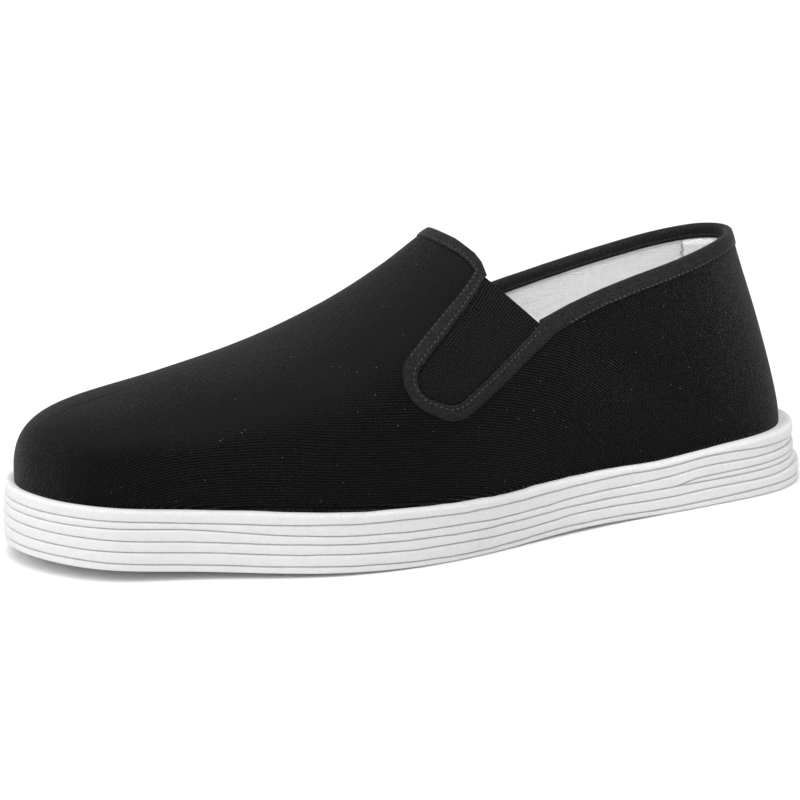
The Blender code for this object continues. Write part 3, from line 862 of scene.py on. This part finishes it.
def weave_of(side, a, v):
    """Weave map of the upper: along and across the twill, from the angle it makes with the foot line.

    At p along the foot and q up the wall it is (run(p) - q sin(angle), wale(p) - q rate), where run and
    wale add up along the foot and rate is cos(angle) times the closeness of the wales.
    """
    place = np.linspace(0, FOOT_LENGTH, 800)
    angle, closeness = np.moveaxis(glide(TWILL)(place), -1, 0)
    angle = np.radians(angle)
    step = place[1] - place[0]
    foot_wale = -np.cumsum(np.sin(angle) * closeness) * step
    foot_run = np.cumsum(np.cos(angle)) * step
    column = last_point(side, a[:, None], np.linspace(0, 1, WEAVE_ROWS + 1)[None])
    steps = np.linalg.norm(np.diff(column, axis=1), axis=2)
    height = np.concatenate([np.zeros((len(a), 1)), np.cumsum(steps, 1)], 1)
    i = np.clip((v * WEAVE_ROWS).astype(int), 0, WEAVE_ROWS - 1)
    share = v * WEAVE_ROWS - i
    rows = np.arange(len(a))[:, None]
    q = height[rows, i] * (1 - share) + height[rows, i + 1] * share
    p = a * FOOT_LENGTH
    wale, run = np.interp(p, place, foot_wale), np.interp(p, place, foot_run)
    turn, close = np.interp(p, place, angle), np.interp(p, place, closeness)
    over_toe = 1 - ease(TOE_WEAVE_START, TOE_WEAVE_END, p)
    rate = over_toe * wale / height[:, -1] + (1 - over_toe) * np.cos(turn) * close
    return np.stack([run[:, None] - q * np.sin(turn)[:, None], wale[:, None] - q * rate[:, None]], -1)


def soften_crest(halves, closed, rows):
    """Both sides' columns with each section line smoothed where it runs over the crest."""
    over = np.concatenate([halves[0], halves[1][:, -2::-1]], 1)
    meets = closed[:, None, None]
    weight = np.exp(-(((np.arange(1, 2 * rows) - rows) / CREST_ROWS) ** 2))[None, :, None] * meets
    for _ in range(CREST_ROUNDS):
        level = (over[:, :-2] + 2 * over[:, 1:-1] + over[:, 2:]) / 4
        over[:, 1:-1] += (level - over[:, 1:-1]) * weight
    return [over[:, : rows + 1], np.where(meets, over[:, rows:][:, ::-1], halves[1])]


def match_weave(maps, closed):
    """Weave maps of both sides, changed so that they agree where their columns meet at the crest."""
    last = np.flatnonzero(closed)[-1]
    after = ease(0, WEAVE_FADE_COLUMNS, np.arange(len(closed)) - last)[:, None]
    middle = (maps[0][:, -1] + maps[1][:, -1]) / 2
    share = (np.linspace(0, 1, maps[0].shape[1]) ** 2)[None, :, None]
    matched = []
    for one in maps:
        miss = middle - one[:, -1]
        miss = np.where(closed[:, None], miss, miss[last] * (1 - after))
        matched.append(one + miss[:, None] * share)
    return matched


def once_round(pair):
    """Both sides' columns in one run: toe, outer side, heel, inner side."""
    return np.concatenate([pair[0], pair[1][-2:0:-1]])


def upper_sheet(lift, columns, rows, drop, under_gore=0.0):
    """One skin over the whole last as a grid that runs once round the foot.

    Columns rise from the foot to the mouth line or the crest; drop carries the foot down onto the welt,
    and under_gore sinks the sheet where an elastic covers it. The twill shows less on flat tops and at
    the tip, which relief says; where relief is low the black twill is also painted paler, painted light on
    the upward-facing tops and a paler toe tip.
    """
    a = np.linspace(0, 1, columns + 1)
    halves, maps, tops, dents = [], [], [], []
    for side in SIDES:
        top = crossing(side, a, mouth_line)
        crest_y = last_point(side, a, top)[:, 1]
        margin = np.interp(crest_y, *np.array(MOUTH_MARGIN).T)
        tall = np.linalg.norm(last_point(side, a, 1.0) - last_point(side, a, 0.0), axis=1)
        limit = np.where(top < 1, top - margin / tall, 1.0)
        v = np.linspace(0, 1, rows + 1)[None] * limit[:, None]
        halves.append(last_point(side, a[:, None], v))
        dents.append(dent(side, halves[-1], v))
        maps.append(weave_of(side, a, v))
        tops.append(top >= 1)
    closed = tops[0] & tops[1]
    halves = soften_crest(halves, closed, rows)
    maps = match_weave(maps, closed)
    grid, weave = once_round(halves), once_round(maps)
    count, height = grid.shape[:2]
    index = numbered(count, height)
    partner = np.arange(columns - 1, 0, -1)
    index[columns + 1 :, -1] = np.where(closed[partner], index[partner, -1], index[columns + 1 :, -1])
    quads = grid_faces(np.concatenate([index, index[:1]]))
    points = grid.reshape(-1, 3)
    normal = vertex_normals(points, quads)
    dents[0][-1] = dents[1][-1] = (dents[0][-1] + dents[1][-1]) / 2
    height_map = once_round(dents).ravel()
    sunk = ease(-0.3, 1.5, distance_inside(gore_area, points[:, 1:])) * under_gore
    points = points + normal * (lift + height_map - sunk)[:, None]
    points = points.reshape(count, height, 3)
    points[:, 0, 2] -= drop
    used = np.unique(quads)
    renumber = np.zeros(count * height, int)
    renumber[used] = np.arange(len(used))
    from_toe = once_round((a, a)) * FOOT_LENGTH
    at_tip = np.repeat(TIP_RELIEF + (1 - TIP_RELIEF) * ease(TIP_START, TIP_END, from_toe), height)
    # relief is low on upward-facing tops (normal z 0.50 to 0.85) and at the toe tip; the black twill
    # paints those places paler, painted top light
    relief = (1 - (1 - FLAT_RELIEF) * ease(FLAT_START, FLAT_END, normal[:, 2])) * at_tip
    return (points.reshape(-1, 3)[used], renumber[quads]), weave.reshape(-1, 2)[used], relief[used]


shape, weave, relief = upper_sheet(0.0, COLUMNS, ROWS, CLOTH_DROP, SUNK_UNDER_GORE)
make_piece("upper_cloth", shape, black_twill, ["upper"], weave, CLOTH, 0.02, relief)
shape, weave, _ = upper_sheet(LINING_LIFT, COLUMNS // 2, ROWS // 2, LINING_DROP)
make_piece("upper_lining", shape, white_lining, (), weave, LINING, weld=0.02)


def patch_top(side, a):
    """Upper edge of the heel patch, a little below the collar."""
    return crossing(side, a, COLLAR_EDGE) - PATCH_DROP


def heel_patch():
    """Lining patch over the back seam inside the heel: a band that runs round the back on both sides.

    Its skin lies at PATCH_LIFT, with folds of 0.09 sin(260 a + 9 v) and a thin front edge.
    """
    column = np.linspace(PATCH_START, 1.0, 40)
    grids, maps = [], []
    for side in SIDES:
        v = 0.02 + (patch_top(side, column) - 0.02)[:, None] * np.linspace(0, 1, 30)[None]
        a = column[:, None] + 0 * v
        fold = 0.09 * np.sin(a * 260 + v * 9) * ease(PATCH_START, PATCH_START + 0.045, a)
        rim = ease(PATCH_START, PATCH_START + 0.004, a)
        grids.append(on_skin(side, a, v, PATCH_LIFT + 0.25 * (1 - rim) - fold)[0])
        maps.append(np.stack([side * (1 - a) * FOOT_LENGTH, v * 60], -1))
    grid = np.concatenate([grids[0], grids[1][-2::-1]])
    weave = np.concatenate([maps[0], maps[1][-2::-1]])
    quads = grid_faces(numbered(*grid.shape[:2]))
    make_piece("heel_patch", (grid, quads), white_lining, (), weave, PATCH)


# tapes and elastics

TAPE_WELD = 0.004
END_RUN = 8.0
GORE_RUN = 90.0


def skin_path(side, near_path, line):
    """A side-view path, then a collar line up to the heel back, as even steps of (a, v)."""
    a, v = locate(side, spread(near_path, 0.5))
    far = np.linspace(0.45, 1.0, 1200)
    level = crossing(side, far, line)
    behind = last_point(side, far, level)[:, 1] > near_path[-1, 0] + 0.4
    both = np.column_stack([np.r_[a, far[behind]], np.r_[v, level[behind]]])
    return even(side, both, 0.25)


def even(side, path, step):
    """Path of (a, v) resampled at an even step along the skin, and its running length."""
    length = running_length(last_point(side, *path.T))
    places = np.linspace(0, length[-1], int(length[-1] / step) + 2)
    return sample(places, length, path), places


def partners(side, outer, inner):
    """For each sample of the outer edge, the place on the inner edge that faces it."""
    (outer_path, outer_run), (inner_path, inner_run) = outer, inner
    from_points, to_points = last_point(side, *outer_path.T), last_point(side, *inner_path.T)
    nearest = np.array([np.linalg.norm(to_points - point, axis=1).argmin() for point in from_points])
    facing = np.maximum.accumulate(inner_run[nearest])
    window = np.hanning(41)
    before, behind = 2 * facing[0] - facing[20:0:-1], 2 * facing[-1] - facing[-2:-22:-1]
    padded = np.concatenate([before, facing, behind])
    facing = np.convolve(padded, window / window.sum(), "valid")
    start = 1 - ease(0, END_RUN, outer_run)
    end = ease(outer_run[-1] - END_RUN, outer_run[-1], outer_run)
    facing = facing * (1 - start) + outer_run * start
    facing = facing * (1 - end) + (inner_run[-1] - (outer_run[-1] - outer_run)) * end
    return sample(facing, inner_run, inner_path)


# shares across the tapes where stitches run
STITCH_ROWS = (0.13, 0.72)
THROAT_ROW = 0.30
INSIDE_ROW = 0.42
# height of the rim, rise of the rolled edge, height of the crown, share that rolls, then depth, half
# width and places of the troughs under the stitch rows
EDGE_FACE = (0.05, 0.36, 0.14, 0.07, 0.20, 0.045, STITCH_ROWS)
THROAT_FACE = (0.02, 0.34, 0.16, 0.09, 0.12, 0.06, (THROAT_ROW,))
INNER_ROLL = 0.9
# shares across where the face of a tape has a row of points
FACE = np.r_[0.0, 0.012, 0.03, 0.06, np.linspace(0.1, 0.9, 17), 0.94, 0.97, 1.0]
# share across, lift of the fold over the rim and of the band inside it
FOLD = [
    (1.10, 0.16),
    (1.17, -0.25),
    (1.20, -0.80),
    (1.18, -1.40),
    (1.10, -1.90),
    (0.97, -2.20),
    (0.80, -2.30),
    (0.60, -2.32),
    (0.42, -2.20),
    (0.28, -2.30),
    (0.17, -2.26),
    (0.13, -2.05),
    (0.13, -1.60),
]
# the same rows where the tape lies flat round a gore: its under side
UNDER = [(share, -0.55) for share in np.linspace(1.0, 0.0, len(FOLD))]


def tape_face(t, rim, rise, crown, roll, trough, width, rows):
    """Height of a sewn tape at a share t of its width:

    rim + rise sqrt(1 - (1 - t / roll)^2) + crown sin(pi t) - trough exp(-((t - row) / width)^2).
    """
    edge = np.sqrt(1 - (1 - np.clip(t / roll, 0, 1)) ** 2)
    height = rim + rise * edge + crown * np.sin(np.pi * t)
    for row in rows:
        height -= trough * np.exp(-(((t - row) / width) ** 2))
    return height


def across_tape(low, high, share):
    """The a and v of each row across a tape between its lower and its upper edge."""
    return np.moveaxis(low[:, None] + (high - low)[:, None] * share[..., None], -1, 0)


def edge_strip(side, step=0.5):
    """Grid of the edge tape on one side: from the throat round the gore and along the collar."""
    outer = skin_path(side, tape_path, COLLAR_TAPE)
    inner = skin_path(side, gore_path, COLLAR_EDGE)
    facing = partners(side, outer, inner)
    pair = np.column_stack([outer[0], facing])
    places = np.linspace(0, outer[1][-1], int(outer[1][-1] / step) + 2)
    pair = sample(places, outer[1], pair)
    low, high = pair[:, :2], pair[:, 2:]
    high_y = last_point(side, *high.T)[:, 1]
    corner = int(np.argmax((high_y > GORE_BACK_TOP_Y) & (places > GORE_RUN)))
    on_collar = ease(-1.2, 1.2, places - places[corner])[:, None]
    fold, under = np.array(FOLD), np.array(UNDER)
    share_fold = under[:, 0] * (1 - on_collar) + fold[:, 0] * on_collar
    lift_fold = under[:, 1] * (1 - on_collar) + fold[:, 1] * on_collar
    lift_face = tape_face(FACE[None], *EDGE_FACE) - (1 - on_collar) * ease(0.90, 1.0, FACE) * INNER_ROLL
    share = np.concatenate([FACE[None] + 0 * on_collar, share_fold], 1)
    lift = np.concatenate([lift_face, lift_fold], 1)
    start = np.clip(places / 0.9, 0, 1)[:, None]
    lift = lift * np.sqrt(1 - (1 - start) ** 2) - 0.5 * (1 - start)
    grid, _ = on_skin(side, *across_tape(low, high, share), lift)
    weave = np.stack([places[:, None] + 0 * share, share * EDGE_TAPE_WIDTH], -1)
    return grid, weave, (low, high, places, corner)


def edge_tape():
    """The edge tape, whose two strips meet at the heel. Returns the lines that its stitches follow."""
    strips = {side: edge_strip(side) for side in SIDES}
    shapes, maps = [], []
    for side, (grid, weave, _) in strips.items():
        heel_end = (strips[1][0][-1] + strips[-1][0][-1]) / 2
        heel_end[:, 0] = 0.0
        grid[-1] = heel_end
        shapes.append((grid, strip_quads(numbered(*grid.shape[:2]), side)))
        maps.append(weave.reshape(-1, 2))
    weave = np.concatenate(maps)
    make_piece("edge_tape", joined(shapes), black_tape, ["edge_binding"], weave, weld=TAPE_WELD)
    return {side: strip[2] for side, strip in strips.items()}


edge_lines = edge_tape()


def steep_crossing(side, v, line):
    """For each row v, the a at which it passes behind a steep side-view line (y, z)."""
    line = np.array(line)[::-1]
    a = np.linspace(0.35, 0.70, 701)
    point = last_point(side, a[None], v[:, None])
    behind = point[..., 1] - np.interp(point[..., 2], line[:, 1], line[:, 0])
    return first_rise(behind, a)


def throat_half(side, count=60):
    """Lower and upper edge of the throat tape on one side as (a, v), from the crest to the gore's tape."""
    edges = []
    for line in (THROAT_TAPE, THROAT_EDGE):
        _, v_end = locate(side, np.array([line[-1]]))
        v = 1 - (1 - v_end[0]) * np.linspace(0, 1, 240) ** 1.15
        path, _ = even(side, np.column_stack([steep_crossing(side, v, line), v]), 0.1)
        run = np.linspace(0, len(path) - 1, count)
        edges.append(sample(run, np.arange(len(path)), path))
    return edges


def throat_tape():
    """The throat tape, folded over the front of the mouth. Returns both edges of it on each side."""
    edges = {side: throat_half(side) for side in SIDES}
    fold = np.array(FOLD)
    share = np.r_[FACE, fold[:, 0]]
    lift = np.r_[tape_face(FACE, *THROAT_FACE), fold[:, 1]]
    grids = []
    for side, (low, high) in edges.items():
        a, v = across_tape(low, high, share)
        grids.append(on_skin(side, a, np.clip(v, 0, 1), lift[None])[0])
    middle = (grids[0][:1] + grids[1][:1]) / 2
    grid = np.concatenate([grids[0][:0:-1], middle, grids[1][1:]])
    quads = strip_quads(numbered(*grid.shape[:2]), -1)
    run = np.linspace(0, THROAT_TAPE_LENGTH, len(grid))[:, None] + 0 * share
    weave = np.stack([run, share * THROAT_TAPE_WIDTH + 0 * run], -1)
    make_piece("throat_tape", (grid, quads), black_tape, ["throat_binding"], weave, weld=TAPE_WELD)
    return edges


throat_lines = throat_tape()


def gore_piece(name, node, side, across=44, along=96):
    """Elastic panel: a quad of the side view laid on the skin, folded over at its straight top edge."""
    front_top, front_foot, foot, back_top = (np.array(row[1:3]) for row in GORE)
    wide = (foot - front_foot) / np.linalg.norm(foot - front_foot)
    u = np.r_[0.0, np.linspace(0, 1, across), 1.0][:, None, None]
    w = np.r_[np.linspace(-0.02, 0.985, along), 1.0][None, :, None]
    tuck = (u - 0.5) * 2 * 0.9
    front_side = front_foot + (front_top - front_foot) * w
    back_side = foot + (back_top - foot) * w
    yz = front_side * (1 - u) + back_side * u + wide * tuck * np.ones_like(w)
    a, v = locate(side, yz.reshape(-1, 2))
    a, v = a.reshape(yz.shape[:2]), v.reshape(yz.shape[:2])
    sag = 0.25 * np.sin(np.pi * u[..., 0])
    outside = GORE_LIFT - sag - 0.25 * ease(0.97, 1.0, w[..., 0])
    inside = GORE_BACK + 0.25 * ease(0.97, 1.0, w[..., 0]) + 0 * sag
    outside[[0, -1]] = inside[[0, -1]] = GORE_EDGE
    front_grid, _ = on_skin(side, a, v, outside)
    back_grid, _ = on_skin(side, a, v, inside)
    rim_lift = np.where(outside[:, -1:] == GORE_EDGE, GORE_EDGE, GORE_EDGE - 0.05)
    rim, _ = on_skin(side, a[:, -1:], v[:, -1:] + 0.00625, rim_lift)
    grid = np.concatenate([front_grid, rim, back_grid[:, ::-1]], 1)
    run = (1 - w[..., 0]) * GORE_TALL + 0 * u[..., 0]
    width = u[..., 0] * GORE_WIDE + 0 * w[..., 0]
    maps = np.stack([run, width], -1)
    weave = np.concatenate([maps, maps[:, -1:], maps[:, ::-1]], 1)
    quads = strip_quads(numbered(*grid.shape[:2]), side)
    make_piece(name, (grid, quads), black_elastic, [node], weave, weld=TAPE_WELD)


gore_piece("outer_elastic", "outer_gore", 1)
gore_piece("inner_elastic", "inner_gore", -1)
heel_patch()


# stitches

THREAD = 0.18
STITCH_LENGTH = 1.45
STITCH_PITCH = 1.9
THREAD_RINGS = 7
THREAD_SIDES = 6
SAMPLE_STEP = 0.1
PATCH_SEAM_LIFT = -2.2
PATCH_ZIGZAG = 0.0022
PATCH_CORNERS = 60
INSIDE_SEAM_LIFT = -2.22
FRONT_SEAM_SHARE = 0.36


def stitch_row(side, path, lift, pitch=STITCH_PITCH, length=STITCH_LENGTH):
    """Short threads along a path of (a, v): each an arched spindle whose ends dive into the cloth."""
    path, run = even(side, path, SAMPLE_STEP)
    spots = np.arange(pitch / 2, run[-1] - pitch / 2, pitch)
    middle, ahead = sample(spots, run, path), sample(spots + 0.3, run, path)
    centre, normal = on_skin(side, *middle.T, lift)
    forward = on_skin(side, *ahead.T, lift)[0] - centre
    forward -= normal * (forward * normal).sum(1, keepdims=True)
    forward /= np.linalg.norm(forward, axis=1, keepdims=True)
    across = np.cross(normal, forward)
    station = np.linspace(-1, 1, THREAD_RINGS)
    turn = np.arange(THREAD_SIDES) / THREAD_SIDES * 2 * np.pi
    radius = THREAD * np.sqrt(np.maximum(1 - station**4, 0.02))
    x = (station * length / 2)[:, None] + 0 * turn
    y = radius[:, None] * np.cos(turn) * 1.25
    z = radius[:, None] * np.sin(turn) + (0.12 - 0.30 * station**2)[:, None]
    local = [part[None, ..., None] for part in (x, y, z)]
    basis = [part[:, None, None] for part in (forward, across, normal)]
    points = centre[:, None, None] + sum(amount * axis for amount, axis in zip(local, basis))
    index = numbered(*points.shape[:3])
    quads = [strip_quads(one, -1) for one in index]
    for row, flip in ((index[:, 0], 1), (index[:, -1], -1)):
        quads += [row[:, [0, 1, 2, 3]][:, ::flip], row[:, [0, 3, 4, 5]][:, ::flip]]
    return points, np.concatenate(quads)


def along_tape(lines, share):
    """Path of (a, v) that runs along a tape at one share of its width."""
    low, high = lines[:2]
    return low + (high - low) * share


edge_seams, inside_seams, patch_seams, throat_seams = [], [], [], []
for side in SIDES:
    corner = edge_lines[side][3]
    outer_row, inner_row, inside_row = (
        along_tape(edge_lines[side], share) for share in (*STITCH_ROWS, INSIDE_ROW)
    )
    edge_seams.append(stitch_row(side, outer_row[4 : int(corner * FRONT_SEAM_SHARE)], 0.30))
    edge_seams.append(stitch_row(side, inner_row[4:corner], 0.34))
    edge_seams.append(stitch_row(side, outer_row[corner + 20 :], 0.28))
    inside_seams.append(stitch_row(side, inside_row[corner + 12 :], INSIDE_SEAM_LIFT))
    v = np.linspace(0.05, 0.99, PATCH_CORNERS) * patch_top(side, np.array([PATCH_START]))[0]
    a = PATCH_START + PATCH_ZIGZAG * (2 * (np.arange(PATCH_CORNERS) % 2) - 1)
    patch_seams.append(stitch_row(side, np.column_stack([a, v]), PATCH_SEAM_LIFT, pitch=1.15, length=1.0))
    throat_row = along_tape(throat_lines[side], THROAT_ROW)[:-4]
    throat_seams.append(stitch_row(side, throat_row, 0.28, pitch=1.7, length=1.25))
make_piece("edge_tape_stitches", joined(edge_seams), black_thread)
make_piece("inside_tape_stitches", joined(inside_seams), black_thread)
make_piece("patch_stitches", joined(patch_seams), white_thread)
make_piece("throat_tape_stitches", joined(throat_seams), black_thread)


# insole

# how far in from the foot line, and height above the seat, of each ring of the insole
INSOLE_RINGS = [
    (2.15, 0.1),
    (2.2, 1.5),
    (2.5, 2.0),
    (3.0, 2.25),
    (4.0, 2.35),
    (5.2, 2.3),
    (6.0, 2.05),
    (6.8, 2.3),
    (8.0, 2.35),
    (10.0, 2.3),
    (12.0, 2.25),
]


def insole_piece():
    """Insole: rings from its rolled edge to the middle, slightly dished, with one sewn trough."""
    rings, maps = [], []
    for inward, rise in INSOLE_RINGS:
        place = ring(grow(FEATHER, -inward), 480)
        rings.append(np.column_stack([place, seat(place[:, 1]) + GAP + rise]))
        maps.append(place)
    grid = np.array(rings)
    shape = grid, closed_rings(numbered(*grid.shape[:2]))
    make_piece("insole_cloth", shape, white_lining, ["insole"], np.array(maps), weld=0.01)


# sole plies


def ripple(line, share):
    """Small unevenness of a line between plies round the sole, in millimetres."""
    turn = 2 * np.pi * share
    rng = np.random.default_rng(40 + line)
    total = 0.0
    for waves, size in ((3, 0.09), (7, 0.08), (13, 0.06), (24, 0.04), (41, 0.025)):
        total = total + size * np.sin(waves * turn + rng.uniform(0, 6.3))
    return total


def line_ripple(line, share, y):
    """Unevenness of a line; the two lines round the heel lift are one line in front of it."""
    if line != 4:
        return ripple(line, share)
    below, own = ripple(3, share), ripple(4, share)
    return below + (own - below) * ease(LIFT_FRONT, LIFT_FRONT + 12, y)


def ring(loop, count, front=None):
    """Loop as points from the toe tip along the outer side and back along the inner, behind a front y."""
    halves = []
    for side in SIDES:
        half, along = side_of(loop, side)
        start = 0 if front is None else np.interp(front, half[:, 1], along)
        place = start + (1 - start) * np.linspace(0, 1, count // 2 + 1)
        halves.append(sample(place, along, half))
    stop = 0 if front is None else None
    return np.concatenate([halves[0], halves[1][-2:stop:-1]])


def ply_edge(on_floor, top):
    """Rounded edge of a ply: how far out, height and share of the thickness of each point.

    The corners are quarter circles. Plies come close behind them, and the welt is rounder and ends in
    the groove at the foot of the upper.
    """
    arc = np.linspace(0, np.pi / 2, 5)
    close = PLY_GAP * 0.45
    low_close = 0.0 if on_floor else -close
    edge = [(-6.0, low_close, 0.0), (-0.7, low_close, 0.0)]
    edge += [(PLY_CORNER * (np.sin(t) - 1), PLY_CORNER * (1 - np.cos(t)), 0.0) for t in arc]
    if top:
        edge += [(0.03, 0.0, 0.22)]
        arc = np.linspace(0, np.pi / 2, 9)
        edge += [(WELT_ROUND * (np.cos(t) - 1), WELT_ROUND * (np.sin(t) - 1), 1.0) for t in arc]
        return edge + [(-2.5, -0.05, 1.0), (-3.0, -0.35, 1.0), (-3.6, -0.5, 1.0), (-9.0, -0.1, 1.0)]
    edge += [(0.04, 0.0, 0.35), (0.04, 0.0, 0.65)]
    edge += [(PLY_CORNER * (np.cos(t) - 1), PLY_CORNER * (np.sin(t) - 1), 1.0) for t in arc]
    return edge + [(-0.7, close, 1.0), (-6.0, close, 1.0)]


def ply_piece(node, low_line, high_line, toe_out, side_out, heel_out, count=640):
    """A cloth ply: its edge profile carried round the sole's outline between two wavy lines."""
    reach = [(-140.0, toe_out), (-110.0, toe_out), (-60.0, side_out), (90.0, side_out), (130.0, heel_out)]
    stand_out = glide(reach)(LOOP[:, 1])
    top = high_line == SEAT_LINE
    front = LIFT_FRONT if node == "heel_lift" else None
    gap = PLY_GAP / 2
    rings, maps = [], []
    for out, rise, share in ply_edge(low_line == 0, top):
        place = ring(grow(LOOP, stand_out + out), count, front)
        turn = np.arctan2(place[:, 1], place[:, 0]) / (2 * np.pi)
        y = place[:, 1]
        low = line_height(low_line, y) + (gap + line_ripple(low_line, turn, y) if low_line else 0)
        wave = SEAT_RIPPLE * ripple(9, turn) if top else line_ripple(high_line, turn, y) - gap
        high = line_height(high_line, y) + wave
        least = 2.2 * PLY_CORNER * ease(LIFT_FRONT, LIFT_FRONT + 6, y) if front else 0
        thick = np.maximum(high - low, least)
        rings.append(np.column_stack([place, low + thick * share + rise * np.minimum(1, thick)]))
        run = running_length(place)
        maps.append(np.column_stack([np.minimum(run, run[-1] - run), rings[-1][:, 2] + out]))
    grid = np.array(rings)
    shape = grid, closed_rings(numbered(*grid.shape[:2]))
    make_piece(node + "_cloth", shape, white_sole_cloth, [node], np.array(maps), weld=0.01)


for row in PLIES:
    ply_piece(*row)
insole_piece()


# camera, light and floor

AZIMUTH = 64.0
ELEVATION = 15.0
DISTANCE = 900.0
FOCAL_PIXELS = 2767.0
FRAME_PIXELS = 800.0
TARGET = (0.0, -9.5, 39.5)
MOUTH = (-25.0, 66.0, 70.0)
SKY_STRENGTH = 0.62
FLOOR_REACH = 12.0
FLOOR_DROP = 0.0002
FLOOR_GREY = 0.93


def direction(azimuth, elevation):
    """Unit vector towards an azimuth, counted from the toe to the outer side, and an elevation."""
    turn, rise = np.radians(azimuth), np.radians(elevation)
    return Vector((np.sin(turn) * np.cos(rise), -np.cos(turn) * np.cos(rise), np.sin(rise)))


def aim(thing, azimuth, elevation, distance, target):
    """Object at a distance in millimetres from the target, looking at it."""
    back = direction(azimuth, elevation)
    thing.location = target + back * distance * MM
    thing.rotation_euler = (-back).to_track_quat("-Z", "Y").to_euler()
    bpy.context.scene.collection.objects.link(thing)
    return thing


target = Vector((np.array(TARGET) - CENTRE) * MM)
lens = bpy.data.cameras.new("camera")
lens.sensor_width = 36.0
lens.lens = FOCAL_PIXELS / FRAME_PIXELS * lens.sensor_width
lens.clip_start = 0.05
bpy.context.scene.camera = aim(bpy.data.objects.new("camera", lens), AZIMUTH, ELEVATION, DISTANCE, target)


def light(name, kind, azimuth, elevation, distance, point, **settings):
    """Lamp of one kind, in degrees and millimetres from the point that it looks at, with its settings."""
    lamp = bpy.data.lights.new(name, kind)
    for key, value in settings.items():
        setattr(lamp, key, value)
    aim(bpy.data.objects.new(name, lamp), azimuth, elevation, distance, point)


light("side_light", "AREA", 84.0, 52.0, 1700.0, target, size=1.2, energy=1.0)
light("toe_light", "AREA", 12.0, 40.0, 1900.0, target, size=1.0, energy=9.0)
light("overhead", "SUN", 20.0, 80.0, 1500.0, target, angle=np.radians(45.0), energy=1.55)
mouth = Vector((np.array(MOUTH) - CENTRE) * MM)
narrow = {"spot_size": np.radians(14.0), "spot_blend": 0.7, "shadow_soft_size": 0.06}
light("mouth_light", "SPOT", 80.0, 56.0, 600.0, mouth, energy=12.0, **narrow)

world = bpy.data.worlds.new("studio")
world.use_nodes = True
world.node_tree.nodes["Background"].inputs["Color"].default_value = (1, 1, 1, 1)
world.node_tree.nodes["Background"].inputs["Strength"].default_value = SKY_STRENGTH
bpy.context.scene.world = world
bpy.context.scene.view_settings.view_transform = "Standard"

floor_mesh = bpy.data.meshes.new("floor")
floor_corners = [(x * FLOOR_REACH, y * FLOOR_REACH, 0) for x, y in ((-1, -1), (1, -1), (1, 1), (-1, 1))]
floor_mesh.from_pydata(floor_corners, [], [(0, 1, 2, 3)])
floor = bpy.data.objects.new("floor", floor_mesh)
floor.location.z = -FLOOR_DROP
bpy.context.scene.collection.objects.link(floor)
pale = bpy.data.materials.new("pale floor")
pale.use_nodes = True
floor_shader = pale.node_tree.nodes["Principled BSDF"]
floor_shader.inputs["Base Color"].default_value = (FLOOR_GREY, FLOOR_GREY, FLOOR_GREY, 1)
floor_shader.inputs["Roughness"].default_value = 0.9
floor_mesh.materials.append(pale)
